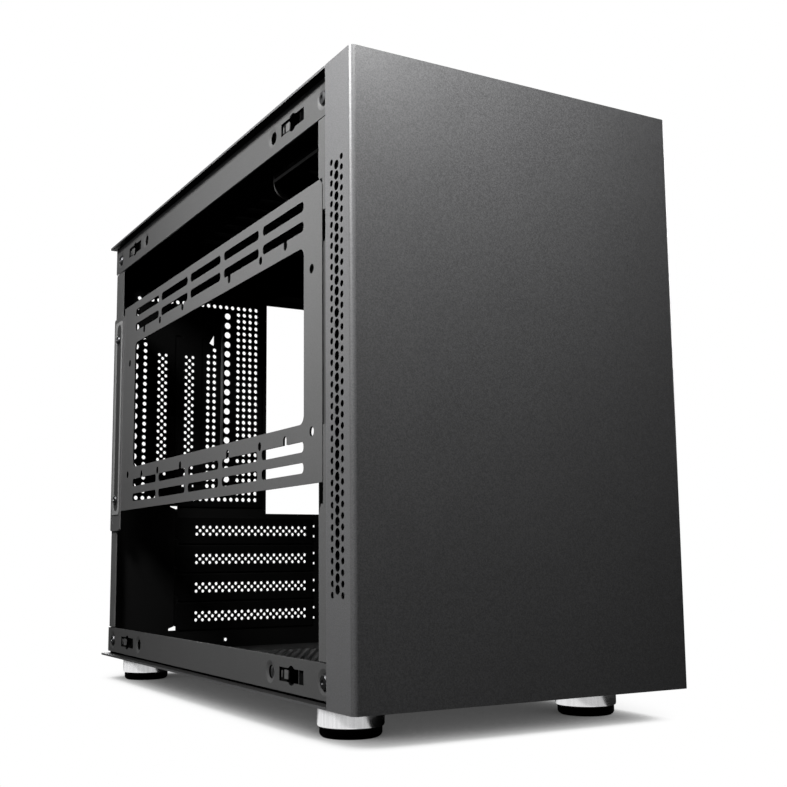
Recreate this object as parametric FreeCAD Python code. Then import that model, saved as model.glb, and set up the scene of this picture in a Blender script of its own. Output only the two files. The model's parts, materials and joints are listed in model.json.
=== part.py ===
import FreeCAD
import Part

import math
import os

from FreeCAD import Vector

# Compact tower computer case of folded sheet steel, open on its left side.
# It is drawn in case coordinates: x from the left edge of the front panel, y from the front
# face towards the back, z from the underside of the bottom sheet. All lengths are in mm.
# On export it is moved, so that the origin is the middle of the rectangle that it stands on,
# with the front facing -Y and the open side facing -X.

# Outer sizes
WIDTH = 183.0
HEIGHT = 286.0
DEPTH = 370.0
SKIN = 1.2
SHEET = 1.0
CLEAR = 0.3
LIP = 4.5

# Front panel
FLANGE_DEPTH = 25.0
FOLD_RADIUS = 2.5
VENT_PITCH = 4.74
VENT_MARGIN = 47.0
VENT_COLUMN_GAP = 4.8
VENT_MIDDLE_Y = 13.8
VENT_SMALL = 2.5
VENT_LARGE = 3.5
VENT_SIDES = 4
ROUND_SIDES = 6
KEY_SIDES = 12

# Snap sockets and studs
SOCKET_LENGTH = 26.3
SOCKET_HEIGHT = 6.4
SOCKET_EYE = 9.0
CLIP_LENGTH = 30.0
CLIP_HEIGHT = 12.0
CLIP_DEPTH = 5.6
CLIP_FLOOR = 1.0
CLIP_POCKET = 13.0
STUD_HEAD = 6.0
STUD_NECK = 4.0
STUD_BASE = 8.0
STUD_HEAD_LENGTH = 3.0
STUD_TRAVEL_GAP = 0.4
FRONT_CLIP_X = 14.0
FRONT_CLIP_Z = 42.0

# Side rails
TOP_RAIL = 19.6
BOTTOM_RAIL = 18.5
RAIL_FLANGE = 5.5
RAIL_LINE = 10.4
RAIL_SCREW_INSET = 11.2
RAIL_CLIP_INSET = 44.6
RAIL_HOLE_INSET = 68.5
RAIL_HOLE = 6.4
SCREW_HEAD = 7.4
SCREW_SHANK = 3.0
RAIL_END_GAP = 1.0

# Front frame and its side posts
POST_WIDE = 15.8
POST_NARROW = 11.3
POST_NOTCH = 8.0
POST_LOWER_GAP = 9.6
POST_UPPER_LAP = 3.3
POST_RECESS_RISE = 25.7
POST_RECESS_DROP = 15.3
POST_GAP = 0.5
FRAME_WINDOW_X = 24.0
FRAME_WINDOW_LOW = 28.0
FRAME_WINDOW_DROP = 46.0
FRAME_BAR = 18.0
CORNER = 6.0

# Rear panel
REAR_SETBACK = 4.0
REAR_POST = 14.6
REAR_POST_LOWER = 10.5
REAR_JOGGLE_REACH = 21.0
REAR_JOGGLE_DROP = 11.3
REAR_JOGGLE_LAP = 6.3
JOGGLE_GROOVE = 0.4

# Motherboard and card slot geometry, measured from the tray
TRAY_ROOM = 12.8
STANDOFF_HEIGHT = 6.35
BOARD_THICK = 1.57
IO_DROP = 2.5
IO_WIDTH = 44.45
IO_HEIGHT = 158.75
IO_TOP_DROP = 29.75
SLOT_PITCH = 20.32
SLOT_DROP = 12.8
SLOT_CLEARANCE = 12.0
SLOT_SHELF_FROM_TRAY = 117.6
SLOT_WINDOW_START = 8.5
SLOT_WINDOW_LENGTH = 96.0
SLOT_WINDOW_WIDTH = 13.0
COVER_WIDTH = 18.4
COVER_THICK = 0.86
COVER_LENGTH = 116.0
COVER_TAIL = 6.0
TAIL_START = 106.8
TAIL_SLOT = 1.6
TAIL_SLOT_WIDTH = 9.2
SHELF_REACH = 11.5
SHELF_END = 1.8
TAB_SHIFT = 4.4
TAB_RELIEF_LONG = 5.4
TAB_RELIEF_HIGH = 2.8
DRAIN_HOLE_OFFSET = 36.7
DRAIN_HOLE_Z = 6.6
DRAIN_HOLE = 2.6

# Perforated plate beside the input and output opening
PLATE_RIGHT_GAP = 4.0
PLATE_LEFT = 12.5
PLATE_RISE = 4.5
PLATE_BORDER = 3.6
HOLE_LARGE_PITCH = 7.18
HOLE_LARGE = 4.8
LARGE_RISE = 13.3
LARGE_COLUMN_RIGHT = 32.0
LARGE_COLUMN_LEFT = 5.8
VERTICAL_COUNT = 2
VERTICAL_LAST_X = 62.1
VERTICAL_SHELF_DROP = 31.85
VERTICAL_PLATE_MARGIN = 9.5
VERTICAL_PLATE_GAP = 36.6
VERTICAL_PLATE_RISE = 7.2
VERTICAL_PLATE_DROP = 8.25
VERTICAL_PLATE_LAP = 1.6

# Fan bracket on the open side
BRACKET_TOP_DROP = 48.7
BRACKET_HEIGHT = 140.0
BRACKET_FRONT = 37.0
BRACKET_REAR_LAP = 5.0
FAN_SPAN_SMALL = 105.0
FAN_SPAN_LARGE = 124.5
FAN_SLOT = 5.0
FAN_SLOT_LENGTH = 48.4
FAN_SLOT_PITCH = 53.75
FAN_SLOT_COUNT = 5
FAN_SLOT_CORNER = 1.2
BRACKET_SHIFT = 3.1
WINDOW_INSET = 20.0
WINDOW_HEIGHT = 84.0
WINDOW_CORNER = 7.0
BRACKET_HOLE = 4.5
BRACKET_HOLE_INSET = 11.0
BRACKET_HOLE_DROP = 46.3
BRACKET_HOLE_RISE = 29.7
NOTCH_WIDTH = 1.6
NOTCH_DEPTH = 4.4
HOOK_REACH = 10.0
HOOK_LAP = 9.0
BRACKET_SCREW_INSET = 11.0
BRACKET_SCREW_RISE = 8.4
BRACKET_SCREW_DROP = 20.5

# Motherboard tray
TRAY_FRONT = 46.0
BOARD_TOP_DROP = 25.7
PORT_COLUMN_Y = 20.0
PORT_WIDE = 20.0
PORT_HIGH = 42.0
PORT_STEP = 56.0
PORT_TOP_DROP = 40.3
COOLER_REAR = 16.0
COOLER_LONG = 125.0
COOLER_HIGH = 96.0
COOLER_DROP = 14.3
LEAD_REAR = 66.0
LEAD_LONG = 50.0
LEAD_HIGH = 12.0
LEAD_GAP = 2.2
BOARD_REAR_GAP = 1.0
BOARD_HOLE_DEPTHS = (10.16, 165.1, 237.49)
BOARD_HOLE_TOP_REAR = 33.02
BOARD_HOLE_DROPS = (6.35, 163.83, 209.55)
PORT_COUNT = 3
STANDOFF_ACROSS = 6.0
STANDOFF_BORE = 2.5

# Power supply bracket
SUPPLY_LONG = 150.0
SUPPLY_SHORT = 86.0
SUPPLY_LEFT = 16.0
SUPPLY_DROP = 21.0
SUPPLY_MARGIN = 6.0
SUPPLY_FLANGE = 4.0
SUPPLY_REAR_FLANGE = 12.0
SUPPLY_WINDOW_INSET = 12.0
SUPPLY_HOLE = 3.8
SUPPLY_HOLE_EDGE = 6.0
SUPPLY_HOLE_LOW = 16.0
SUPPLY_HOLE_SIDE = 30.0

# Vents and filters in the top and bottom sheets
GRILLE_SLOT = 9.0
GRILLE_PITCH = 20.0
GRILLE_COUNT = 12
GRILLE_LENGTH = 86.0
GRILLE_REAR = 165.0
FILTER_MARGIN = 7.0
FILTER_THICK = 1.5
FILTER_RIM = 6.0
FILTER_MESH = 0.6
FILTER_RAIL = 4.0

# Controls and ports in the top sheet
PORT_Y = 44.0
PORT_ROW_START = 38.0
PORT_PITCH = 18.0
BUTTON_HOLE = 12.0
RESET_HOLE = 5.0
AUDIO_HOLE = 7.0
BUTTON_PROUD = 0.8
BUTTON_TRAVEL = 1.2
BUTTON_FLANGE = 1.2
USB_LONG = 13.2
USB_SHORT = 5.8
USB_SMALL_LONG = 9.0
USB_SMALL_SHORT = 3.2
PORT_DEPTH = 12.0
PORT_BOX_DEPTH = 15.5
PORT_BOX_WIDTH = 20.0
PORT_BOX_END = 10.0

# Power inlet
INLET_RIGHT = 43.0
INLET_DROP = 15.6
INLET_LONG = 27.2
INLET_SHORT = 19.4
INLET_FLANGE_LONG = 48.0
INLET_FLANGE_SHORT = 22.0
INLET_FLANGE_THICK = 2.4
INLET_BODY = 18.0
INLET_WALL = 1.8

# Feet
FOOT_ACROSS = 30.5
FOOT_METAL = 10.6
PAD_ACROSS = 28.4
PAD_HEIGHT = 4.6
PAD_CHAMFER = 1.4
FOOT_SIDES = 14
FOOT_SCREW = 4.0
FOOT_SCREW_LENGTH = 6.0
FOOT_INSET_X = 23.8
FOOT_INSET_FRONT = 48.4
FOOT_INSET_REAR = 24.8

# Right side panel and drive bracket
SIDE_RIM = 3.2
DRIVE_LONG = 100.0
DRIVE_WIDE = 76.0
DRIVE_RIM = 5.0
DRIVE_Y = 100.0
DRIVE_Z = 40.0

# Values worked out from the ones above
RAIL_LEFT = LIP
REAR_Y = DEPTH - REAR_SETBACK
REAR_OUT = REAR_Y + SHEET
TRAY_X = WIDTH - TRAY_ROOM
IO_RIGHT = TRAY_X - STANDOFF_HEIGHT - BOARD_THICK + IO_DROP
IO_LEFT = IO_RIGHT - IO_WIDTH
IO_TOP = HEIGHT - IO_TOP_DROP
IO_BOTTOM = IO_TOP - IO_HEIGHT
SHELF_X = TRAY_X - SLOT_SHELF_FROM_TRAY
SLOT_FIRST_Z = IO_BOTTOM - SLOT_DROP
SLOT_COUNT = int((SLOT_FIRST_Z - SLOT_CLEARANCE) / SLOT_PITCH) + 1
SLOT_LAST_Z = SLOT_FIRST_Z - SLOT_PITCH * (SLOT_COUNT - 1)
PLATE_RIGHT = IO_LEFT - PLATE_RIGHT_GAP
PLATE_LOW = IO_BOTTOM + PLATE_RISE
PLATE_HIGH = IO_TOP + CLEAR
LARGE_LOW_Z = PLATE_LOW + LARGE_RISE
LARGE_ROWS = int((PLATE_HIGH - LARGE_LOW_Z) / HOLE_LARGE_PITCH)
VERTICAL_PLATE_LEFT = PLATE_LEFT + VERTICAL_PLATE_MARGIN
VERTICAL_PLATE_RIGHT = IO_LEFT - VERTICAL_PLATE_GAP
VERTICAL_PLATE_LOW = PLATE_LOW + VERTICAL_PLATE_RISE
VERTICAL_PLATE_HIGH = IO_TOP - VERTICAL_PLATE_DROP
VERTICAL_SHELF_Z = IO_TOP - VERTICAL_SHELF_DROP
VERTICAL_Y = REAR_Y - 2 * SHEET
BRACKET_TOP = HEIGHT - BRACKET_TOP_DROP
BRACKET_BOTTOM = BRACKET_TOP - BRACKET_HEIGHT
BRACKET_MIDDLE_Z = BRACKET_BOTTOM + BRACKET_HEIGHT / 2
BRACKET_REAR = REAR_OUT - REAR_JOGGLE_REACH
BRACKET_MIDDLE_Y = (BRACKET_FRONT + BRACKET_REAR) / 2 - BRACKET_SHIFT
WINDOW_LENGTH = BRACKET_REAR - BRACKET_FRONT - 2 * WINDOW_INSET - FAN_SLOT
POST_LOWER_TOP = BRACKET_BOTTOM - POST_LOWER_GAP
POST_UPPER_FOOT = BRACKET_TOP - POST_UPPER_LAP
POST_RECESS_LOW = BRACKET_BOTTOM + POST_RECESS_RISE
POST_RECESS_HIGH = BRACKET_TOP - POST_RECESS_DROP
REAR_JOGGLE_LOW = BRACKET_BOTTOM - REAR_JOGGLE_DROP
REAR_JOGGLE_HIGH = BRACKET_TOP - REAR_JOGGLE_LAP
BOARD_TOP = HEIGHT - BOARD_TOP_DROP
SUPPLY_LEVEL = HEIGHT - SUPPLY_DROP
INLET_X = WIDTH - INLET_RIGHT
INLET_Z = HEIGHT - INLET_DROP
GRILLE_MIDDLE_Y = DEPTH - GRILLE_REAR
TOP_INNER = HEIGHT - SKIN
TOTAL_DEPTH = REAR_OUT + SHELF_REACH
FOOT_HEIGHT = FOOT_METAL + PAD_HEIGHT


def box(low, high):
    """Block between two corners."""
    size = [high[i] - low[i] for i in range(3)]
    return Part.makeBox(size[0], size[1], size[2], Vector(*low))


def cylinder(base, direction, across, length):
    """Round bar that starts at base."""
    return Part.makeCylinder(across / 2, length, Vector(*base), Vector(*direction))


def prism(base, direction, across, length, sides=6):
    """Bar with flat sides that starts at base: a small screw, stud or bore with few faces."""
    start = Vector(*base)
    axis = Vector(*direction)
    first = Vector(0, 0, 1) if abs(axis.z) < 0.5 else Vector(0, 1, 0)
    second = axis.cross(first)
    points = []
    for i in range(sides):
        turn = 2 * math.pi * i / sides
        points.append(start + (first * math.cos(turn) + second * math.sin(turn)) * (across / 2))
    return Part.Face(Part.makePolygon(points + points[:1])).extrude(axis * length)


def polygon_wire(points):
    """Closed straight-sided outline."""
    corners = [Vector(*p) for p in points]
    return Part.makePolygon(corners + corners[:1])


def on_plane(plane, level, a, b):
    """Point on a sheet: plane names the axis across the sheet, a and b are the other two."""
    if plane == "x":
        return (level, a, b)
    if plane == "y":
        return (a, level, b)
    return (a, b, level)


def rounded_wire(plane, level, low, high, radius):
    """Rectangle with round corners on a sheet."""
    a0, b0 = low
    a1, b1 = high
    r = radius
    k = r * (1 - math.sqrt(0.5))
    spots = (
        ((a0 + r, b0), (a1 - r, b0), (a1 - k, b0 + k), (a1, b0 + r)),
        ((a1, b0 + r), (a1, b1 - r), (a1 - k, b1 - k), (a1 - r, b1)),
        ((a1 - r, b1), (a0 + r, b1), (a0 + k, b1 - k), (a0, b1 - r)),
        ((a0, b1 - r), (a0, b0 + r), (a0 + k, b0 + k), (a0 + r, b0)),
    )
    edges = []
    for start, end, middle, stop in spots:
        p = [Vector(*on_plane(plane, level, *q)) for q in (start, end, middle, stop)]
        edges.append(Part.LineSegment(p[0], p[1]).toShape())
        edges.append(Part.Arc(p[1], p[2], p[3]).toShape())
    return Part.Wire(edges)


def square_wire(plane, level, low, high):
    """Rectangle with sharp corners on a sheet."""
    corners = ((low[0], low[1]), (high[0], low[1]), (high[0], high[1]), (low[0], high[1]))
    return polygon_wire([on_plane(plane, level, a, b) for a, b in corners])


def cut_corner_wire(plane, level, low, high, corner):
    """Rectangle with corners cut off at a slant on a sheet."""
    a0, b0 = low
    a1, b1 = high
    c = corner
    spots = [
        (a0 + c, b0), (a1 - c, b0), (a1, b0 + c), (a1, b1 - c),
        (a1 - c, b1), (a0 + c, b1), (a0, b1 - c), (a0, b0 + c),
    ]
    return polygon_wire([on_plane(plane, level, a, b) for a, b in spots])


def hole_wire(plane, level, a, b, across, sides):
    """Small punched hole as a regular outline, with a corner at the top."""
    points = []
    for i in range(sides):
        turn = math.pi / 2 + 2 * math.pi * i / sides
        points.append(on_plane(plane, level, a + across / 2 * math.cos(turn), b + across / 2 * math.sin(turn)))
    return polygon_wire(points)


def round_wire(plane, level, a, b, across):
    """Round hole on a sheet."""
    normal = {"x": Vector(1, 0, 0), "y": Vector(0, 1, 0), "z": Vector(0, 0, 1)}[plane]
    circle = Part.Circle(Vector(*on_plane(plane, level, a, b)), normal, across / 2)
    return Part.Wire([circle.toShape()])


def punched(plane, thick, outline, holes):
    """Flat sheet with holes, grown along its plane's axis."""
    face = Part.makeFace([outline] + list(holes), "Part::FaceMakerBullseye")
    normal = {"x": Vector(thick, 0, 0), "y": Vector(0, thick, 0), "z": Vector(0, 0, thick)}[plane]
    return face.extrude(normal)


def mirrored_x(shape):
    """Copy on the other side of the case."""
    return shape.mirror(Vector(WIDTH / 2, 0, 0), Vector(1, 0, 0))


def fused(shapes):
    """One solid of several that touch."""
    return shapes[0].multiFuse(shapes[1:]).removeSplitter()


def rail_places(inset):
    """The front and the rear place of a rail feature."""
    return (FLANGE_DEPTH + inset, DEPTH - inset)


def front_panel():
    """Folded front: face, two perforated side flanges and returns at the top and bottom."""
    r = FOLD_RADIUS
    k = r * (1 - math.sqrt(0.5))
    ri = r - SKIN
    ki = SKIN + ri * (1 - math.sqrt(0.5))
    far = FLANGE_DEPTH - CLEAR

    def line(p, q):
        return Part.LineSegment(Vector(*p, 0), Vector(*q, 0)).toShape()

    def arc(p, m, q):
        return Part.Arc(Vector(*p, 0), Vector(*m, 0), Vector(*q, 0)).toShape()

    w = WIDTH
    edges = [
        line((0, far), (0, r)),
        arc((0, r), (k, k), (r, 0)),
        line((r, 0), (w - r, 0)),
        arc((w - r, 0), (w - k, k), (w, r)),
        line((w, r), (w, far)),
        line((w, far), (w - SKIN, far)),
        line((w - SKIN, far), (w - SKIN, r)),
        arc((w - SKIN, r), (w - ki, ki), (w - r, SKIN)),
        line((w - r, SKIN), (r, SKIN)),
        arc((r, SKIN), (ki, ki), (SKIN, r)),
        line((SKIN, r), (SKIN, far)),
        line((SKIN, far), (0, far)),
    ]
    sheet = Part.Face(Part.Wire(edges)).extrude(Vector(0, 0, HEIGHT))
    returns = []
    for z in (0, HEIGHT - SKIN):
        returns.append(box((SKIN, SKIN, z), (w - SKIN, far, z + SKIN)))
    panel = fused([sheet] + returns)
    return panel.cut(Part.makeCompound(vent_punches()))


def vent_punches():
    """Punches through both side flanges: two columns of small holes and one of large between."""
    punches = []
    full = int((HEIGHT - 2 * VENT_MARGIN) / VENT_PITCH) + 1
    span = VENT_PITCH * (full - 1)
    for column in (-1, 0, 1):
        rows = full - (column == 0)
        across = VENT_LARGE if column == 0 else VENT_SMALL
        low = HEIGHT / 2 - span / 2 + (VENT_PITCH / 2 if column == 0 else 0)
        for row in range(rows):
            wire = hole_wire("x", -SKIN, VENT_MIDDLE_Y + column * VENT_COLUMN_GAP,
                             low + row * VENT_PITCH, across, VENT_SIDES)
            punches.append(Part.Face(wire).extrude(Vector(WIDTH + 2 * SKIN, 0, 0)))
    return punches


def stud(root, direction, reach):
    """Snap stud: base, neck and head. The head fills the clip, the base stops at the sheet."""
    d = Vector(*direction)
    base_length = reach - SHEET - STUD_TRAVEL_GAP
    neck_length = reach - base_length + CLIP_FLOOR
    start = Vector(*root)
    base = prism(start, direction, STUD_BASE, base_length)
    neck = prism(start + d * base_length, direction, STUD_NECK, neck_length)
    head = prism(start + d * (base_length + neck_length), direction, STUD_HEAD, STUD_HEAD_LENGTH)
    return fused([base, neck, head])


def front_clip_places():
    """Centres of the four snap points of the front panel."""
    places = []
    for x in (FRONT_CLIP_X, WIDTH - FRONT_CLIP_X):
        for z in (FRONT_CLIP_Z, HEIGHT - FRONT_CLIP_Z):
            places.append((x, z))
    return places


def front_panel_studs():
    """Four studs on the back of the front panel."""
    reach = FLANGE_DEPTH + SHEET - SKIN
    return Part.makeCompound([stud((x, SKIN, z), (0, 1, 0), reach) for x, z in front_clip_places()])


def clip_body():
    """Snap receiver around the origin: face at x = 0, growing to +x, long along y."""
    block = box((0, -CLIP_LENGTH / 2, -CLIP_HEIGHT / 2), (CLIP_DEPTH, CLIP_LENGTH / 2, CLIP_HEIGHT / 2))
    half = CLIP_POCKET / 2
    rise = SOCKET_EYE / 2
    pocket = box((-CLIP_FLOOR, -half, -rise), (CLIP_DEPTH + CLIP_FLOOR, half, rise))
    return block.cut(pocket)


def placed(shape, place, turn_axis=(0, 0, 1), turn=0.0):
    """Copy of a shape turned about an axis and moved to a place."""
    copy = shape.copy()
    copy.Placement = FreeCAD.Placement(Vector(*place), FreeCAD.Rotation(Vector(*turn_axis), turn))
    return copy


def front_clips():
    """Four receivers behind the front frame, standing upright."""
    body = clip_body()
    y = FLANGE_DEPTH + SHEET
    return Part.makeCompound([placed(body, (x, y, z), (1, 1, 1), 120) for x, z in front_clip_places()])


def rail_clip_places():
    """Centres of the snap points along one side."""
    return [(y, z) for y in rail_places(RAIL_CLIP_INSET) for z in (RAIL_LINE, HEIGHT - RAIL_LINE)]


def left_clips():
    """Four receivers inside the left rails, where the left side panel snaps in."""
    body = clip_body()
    return Part.makeCompound([placed(body, (RAIL_LEFT + SHEET, y, z)) for y, z in rail_clip_places()])


def right_clips():
    """Four receivers inside the right rails, which hold the right side panel."""
    return mirrored_x(left_clips())


def screw_tabs(y_from, y_to, y_screw):
    """Tabs of an upright sheet behind the rails of both sides, each with a hole for a rail screw."""
    x0, x1 = RAIL_LEFT + SHEET, RAIL_LEFT + 2 * SHEET
    tabs = []
    for z in (RAIL_LINE, HEIGHT - RAIL_LINE):
        tab = box((x0, y_from, z - SCREW_HEAD), (x1, y_to, z + SCREW_HEAD))
        tabs.append(tab.cut(prism((x0 - SHEET, y_screw, z), (1, 0, 0), SCREW_SHANK, 3 * SHEET)))
    return tabs + [mirrored_x(t) for t in tabs]


def rail_profile(height):
    """Section of a bottom rail on the left: an upright wall and a foot that lies on the sheet."""
    x0, x1, x2 = RAIL_LEFT, RAIL_LEFT + SHEET, RAIL_LEFT + SHEET + RAIL_FLANGE
    z0, z1 = SKIN, SKIN + SHEET
    y = FLANGE_DEPTH + SHEET
    return polygon_wire([(x0, y, z0), (x2, y, z0), (x2, y, z1), (x1, y, z1), (x1, y, height), (x0, y, height)])


def socket_cut(y, z):
    """Cut-out for a snap stud: a long slot with a round eye at its middle."""
    slot = box((RAIL_LEFT - SHEET, y - SOCKET_LENGTH / 2, z - SOCKET_HEIGHT / 2),
               (RAIL_LEFT + 2 * SHEET, y + SOCKET_LENGTH / 2, z + SOCKET_HEIGHT / 2))
    eye = prism((RAIL_LEFT - SHEET, y, z), (1, 0, 0), SOCKET_EYE, 3 * SHEET, ROUND_SIDES)
    return slot.fuse(eye)


def rail_bore(y, z, across):
    """Hole through a left rail."""
    return prism((RAIL_LEFT - SHEET, y, z), (1, 0, 0), across, 3 * SHEET, ROUND_SIDES)


def left_bottom_rail(height):
    """Rail along the open side, with its sockets, holes and screw seats."""
    end = DEPTH - RAIL_END_GAP
    start = FLANGE_DEPTH + SHEET
    rail = Part.Face(rail_profile(height)).extrude(Vector(0, end - start, 0))
    cuts = []
    for y in rail_places(RAIL_CLIP_INSET):
        cuts.append(socket_cut(y, RAIL_LINE))
    for y in rail_places(RAIL_HOLE_INSET):
        cuts.append(rail_bore(y, RAIL_LINE, RAIL_HOLE))
    for y in rail_places(RAIL_SCREW_INSET):
        cuts.append(rail_bore(y, RAIL_LINE, SCREW_HEAD + CLEAR))
    notch = box((RAIL_LEFT + SHEET, REAR_Y, 0), (RAIL_LEFT + SHEET + RAIL_FLANGE + CLEAR, DEPTH, SKIN + SHEET))
    return rail.cut(Part.makeCompound(cuts + [notch]))


def flipped_z(shape):
    """Copy of a bottom piece under the top sheet."""
    return shape.mirror(Vector(0, 0, HEIGHT / 2), Vector(0, 0, 1))


def screw(place, direction, head_across, shank_length):
    """Screw whose head's underside is at place and whose shank points along direction."""
    d = Vector(*direction)
    seat = Vector(*place)
    head = prism(seat - d * SHEET, direction, head_across, SHEET, ROUND_SIDES)
    shank = prism(seat, direction, SCREW_SHANK, shank_length)
    return fused([head, shank])


def rail_screws():
    """Flat-headed screws sunk into all four rails, which hold them to the frame's tabs."""
    places = [(y, z) for y in rail_places(RAIL_SCREW_INSET) for z in (RAIL_LINE, HEIGHT - RAIL_LINE)]
    left = [screw((RAIL_LEFT + SHEET, y, z), (1, 0, 0), SCREW_HEAD, 3 * SHEET) for y, z in places]
    return Part.makeCompound(left + [mirrored_x(s) for s in left])


def front_post():
    """Left edge of the front frame: wide at the ends, narrow where the fan bracket hooks in."""
    y0 = FLANGE_DEPTH
    wide = y0 + POST_WIDE
    narrow = y0 + POST_NARROW
    notch = y0 + POST_NOTCH
    low = BOTTOM_RAIL + POST_GAP
    high = HEIGHT - TOP_RAIL - POST_GAP
    bevel = POST_WIDE - POST_NARROW
    outline = [
        (y0, low), (wide, low), (wide, POST_LOWER_TOP - bevel), (wide - bevel / 2, POST_LOWER_TOP),
        (narrow, POST_LOWER_TOP), (narrow, POST_RECESS_LOW), (notch, POST_RECESS_LOW),
        (notch, POST_RECESS_HIGH), (narrow, POST_RECESS_HIGH), (narrow, POST_UPPER_FOOT),
        (wide, POST_UPPER_FOOT + bevel), (wide, high), (y0, high),
    ]
    wire = polygon_wire([(RAIL_LEFT, y, z) for y, z in outline])
    return Part.Face(wire).extrude(Vector(SHEET, 0, 0))


def front_frame():
    """Upright sheet behind the front panel, with two air windows and a post on each side."""
    y = FLANGE_DEPTH
    inner = RAIL_LEFT + SHEET
    outline = square_wire("y", y, (inner, SKIN), (WIDTH - inner, TOP_INNER))
    left = FRAME_WINDOW_X
    right = WIDTH - FRAME_WINDOW_X
    low = FRAME_WINDOW_LOW
    high = HEIGHT - FRAME_WINDOW_DROP
    middle = (low + high) / 2
    holes = [
        cut_corner_wire("y", y, (left, low), (right, middle - FRAME_BAR / 2), CORNER),
        cut_corner_wire("y", y, (left, middle + FRAME_BAR / 2), (right, high), CORNER),
    ]
    half = SOCKET_EYE / 2
    for x, z in front_clip_places():
        holes.append(square_wire("y", y, (x - half, z - half), (x + half, z + half)))
    plate = punched("y", SHEET, outline, holes)
    post = front_post()
    y_screw = rail_places(RAIL_SCREW_INSET)[0]
    tabs = screw_tabs(FLANGE_DEPTH, y_screw + SCREW_HEAD, y_screw)
    return fused([plate, post, mirrored_x(post)] + tabs)


def rear_post():
    """Left edge of the rear panel, with a raised strip that the fan bracket slides behind."""
    y1 = REAR_OUT
    low = BOTTOM_RAIL + POST_GAP
    high = HEIGHT - TOP_RAIL - POST_GAP
    upper = y1 - REAR_POST
    lower = y1 - REAR_POST_LOWER
    outline = [
        (y1, low), (y1, high), (upper, high), (upper, REAR_JOGGLE_HIGH), (REAR_Y - SHEET, REAR_JOGGLE_HIGH),
        (REAR_Y - SHEET, REAR_JOGGLE_LOW), (lower, REAR_JOGGLE_LOW), (lower, low),
    ]
    wire = polygon_wire([(RAIL_LEFT, y, z) for y, z in outline])
    wall = Part.Face(wire).extrude(Vector(SHEET, 0, 0))
    strip_front = y1 - REAR_JOGGLE_REACH
    lap = 2 * SHEET
    strip = cut_corner_wire("x", RAIL_LEFT - SHEET, (strip_front, REAR_JOGGLE_LOW - lap),
                            (y1, REAR_JOGGLE_HIGH + lap), SHEET)
    raised = Part.Face(strip).extrude(Vector(SHEET, 0, 0))
    edge = 3 * SHEET
    groove_wire = cut_corner_wire("x", RAIL_LEFT - SHEET, (strip_front + edge, REAR_JOGGLE_LOW + edge),
                                  (y1 - edge, REAR_JOGGLE_HIGH - edge), CORNER / 2)
    groove = Part.Face(groove_wire).extrude(Vector(JOGGLE_GROOVE, 0, 0))
    bores = [screw_bore(z) for z in bracket_screw_heights()]
    return fused([wall, raised.cut(Part.makeCompound([groove] + bores))])


def shelf_span(first, last):
    """Ends of the shelf for the tabs of a row of covers between two slot middles."""
    half = COVER_WIDTH / 2 + SHELF_END
    return (first + TAB_SHIFT - half, last + TAB_SHIFT + half)


def tab_opening(plane, level, fold, span, side):
    """Slot beside a shelf that the tabs pass through, wider at both ends to relieve the fold."""
    near = fold
    far = fold + side * 2 * COVER_THICK
    relief = fold + side * TAB_RELIEF_LONG
    low, high = span
    step = TAB_RELIEF_HIGH
    points = [
        (near, low - step), (near, high + step), (relief, high + step), (relief, high + step / 2),
        (far, high), (far, low), (relief, low - step / 2), (relief, low - step),
    ]
    if plane == "z":
        points = [(b, a) for a, b in points]
        plane = "y"
    return polygon_wire([on_plane(plane, level, a, b) for a, b in points])


def slot_heights():
    """Middle height of each card slot."""
    return [SLOT_FIRST_Z - SLOT_PITCH * i for i in range(SLOT_COUNT)]


def rear_panel():
    """Rear sheet with its openings, the shelf that the slot covers screw to, and two posts."""
    y = REAR_Y
    inner = RAIL_LEFT + SHEET
    outline = square_wire("y", y, (inner, SKIN), (WIDTH - inner, TOP_INNER))
    holes = [
        square_wire("y", y, (IO_LEFT, IO_BOTTOM), (IO_RIGHT, IO_TOP)),
        square_wire("y", y, (PLATE_LEFT + PLATE_BORDER, PLATE_LOW + PLATE_BORDER),
                    (PLATE_RIGHT - PLATE_BORDER, PLATE_HIGH - PLATE_BORDER)),
        square_wire("y", y, (INLET_X - INLET_LONG / 2 - CLEAR, INLET_Z - INLET_SHORT / 2 - CLEAR),
                    (INLET_X + INLET_LONG / 2 + CLEAR, INLET_Z + INLET_SHORT / 2 + CLEAR)),
        hole_wire("y", y, SHELF_X + DRAIN_HOLE_OFFSET, DRAIN_HOLE_Z, DRAIN_HOLE, ROUND_SIDES),
        tab_opening("y", y, SHELF_X - SHEET, shelf_span(SLOT_LAST_Z, SLOT_FIRST_Z), -1),
    ]
    for z in slot_heights():
        half = SLOT_WINDOW_WIDTH / 2
        start = SHELF_X + SLOT_WINDOW_START
        holes.append(square_wire("y", y, (start, z - half), (start + SLOT_WINDOW_LENGTH, z + half)))
        tail = SHELF_X + TAIL_START
        holes.append(square_wire("y", y, (tail, z - TAIL_SLOT_WIDTH / 2), (tail + TAIL_SLOT, z + TAIL_SLOT_WIDTH / 2)))
    plate = punched("y", SHEET, outline, holes)
    low, high = shelf_span(SLOT_LAST_Z, SLOT_FIRST_Z)
    shelf = box((SHELF_X - SHEET, REAR_Y, low), (SHELF_X, REAR_OUT + SHELF_REACH, high))
    bores = []
    for z in slot_heights():
        place = (SHELF_X - 2 * SHEET, REAR_OUT + SHELF_REACH / 2, z + TAB_SHIFT)
        bores.append(prism(place, (1, 0, 0), SCREW_SHANK, 3 * SHEET))
    shelf = shelf.cut(Part.makeCompound(bores))
    post = rear_post()
    y_screw = rail_places(RAIL_SCREW_INSET)[1]
    tabs = screw_tabs(y_screw - SCREW_HEAD, REAR_OUT, y_screw)
    return fused([plate, shelf, post, mirrored_x(post)] + tabs)


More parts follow.
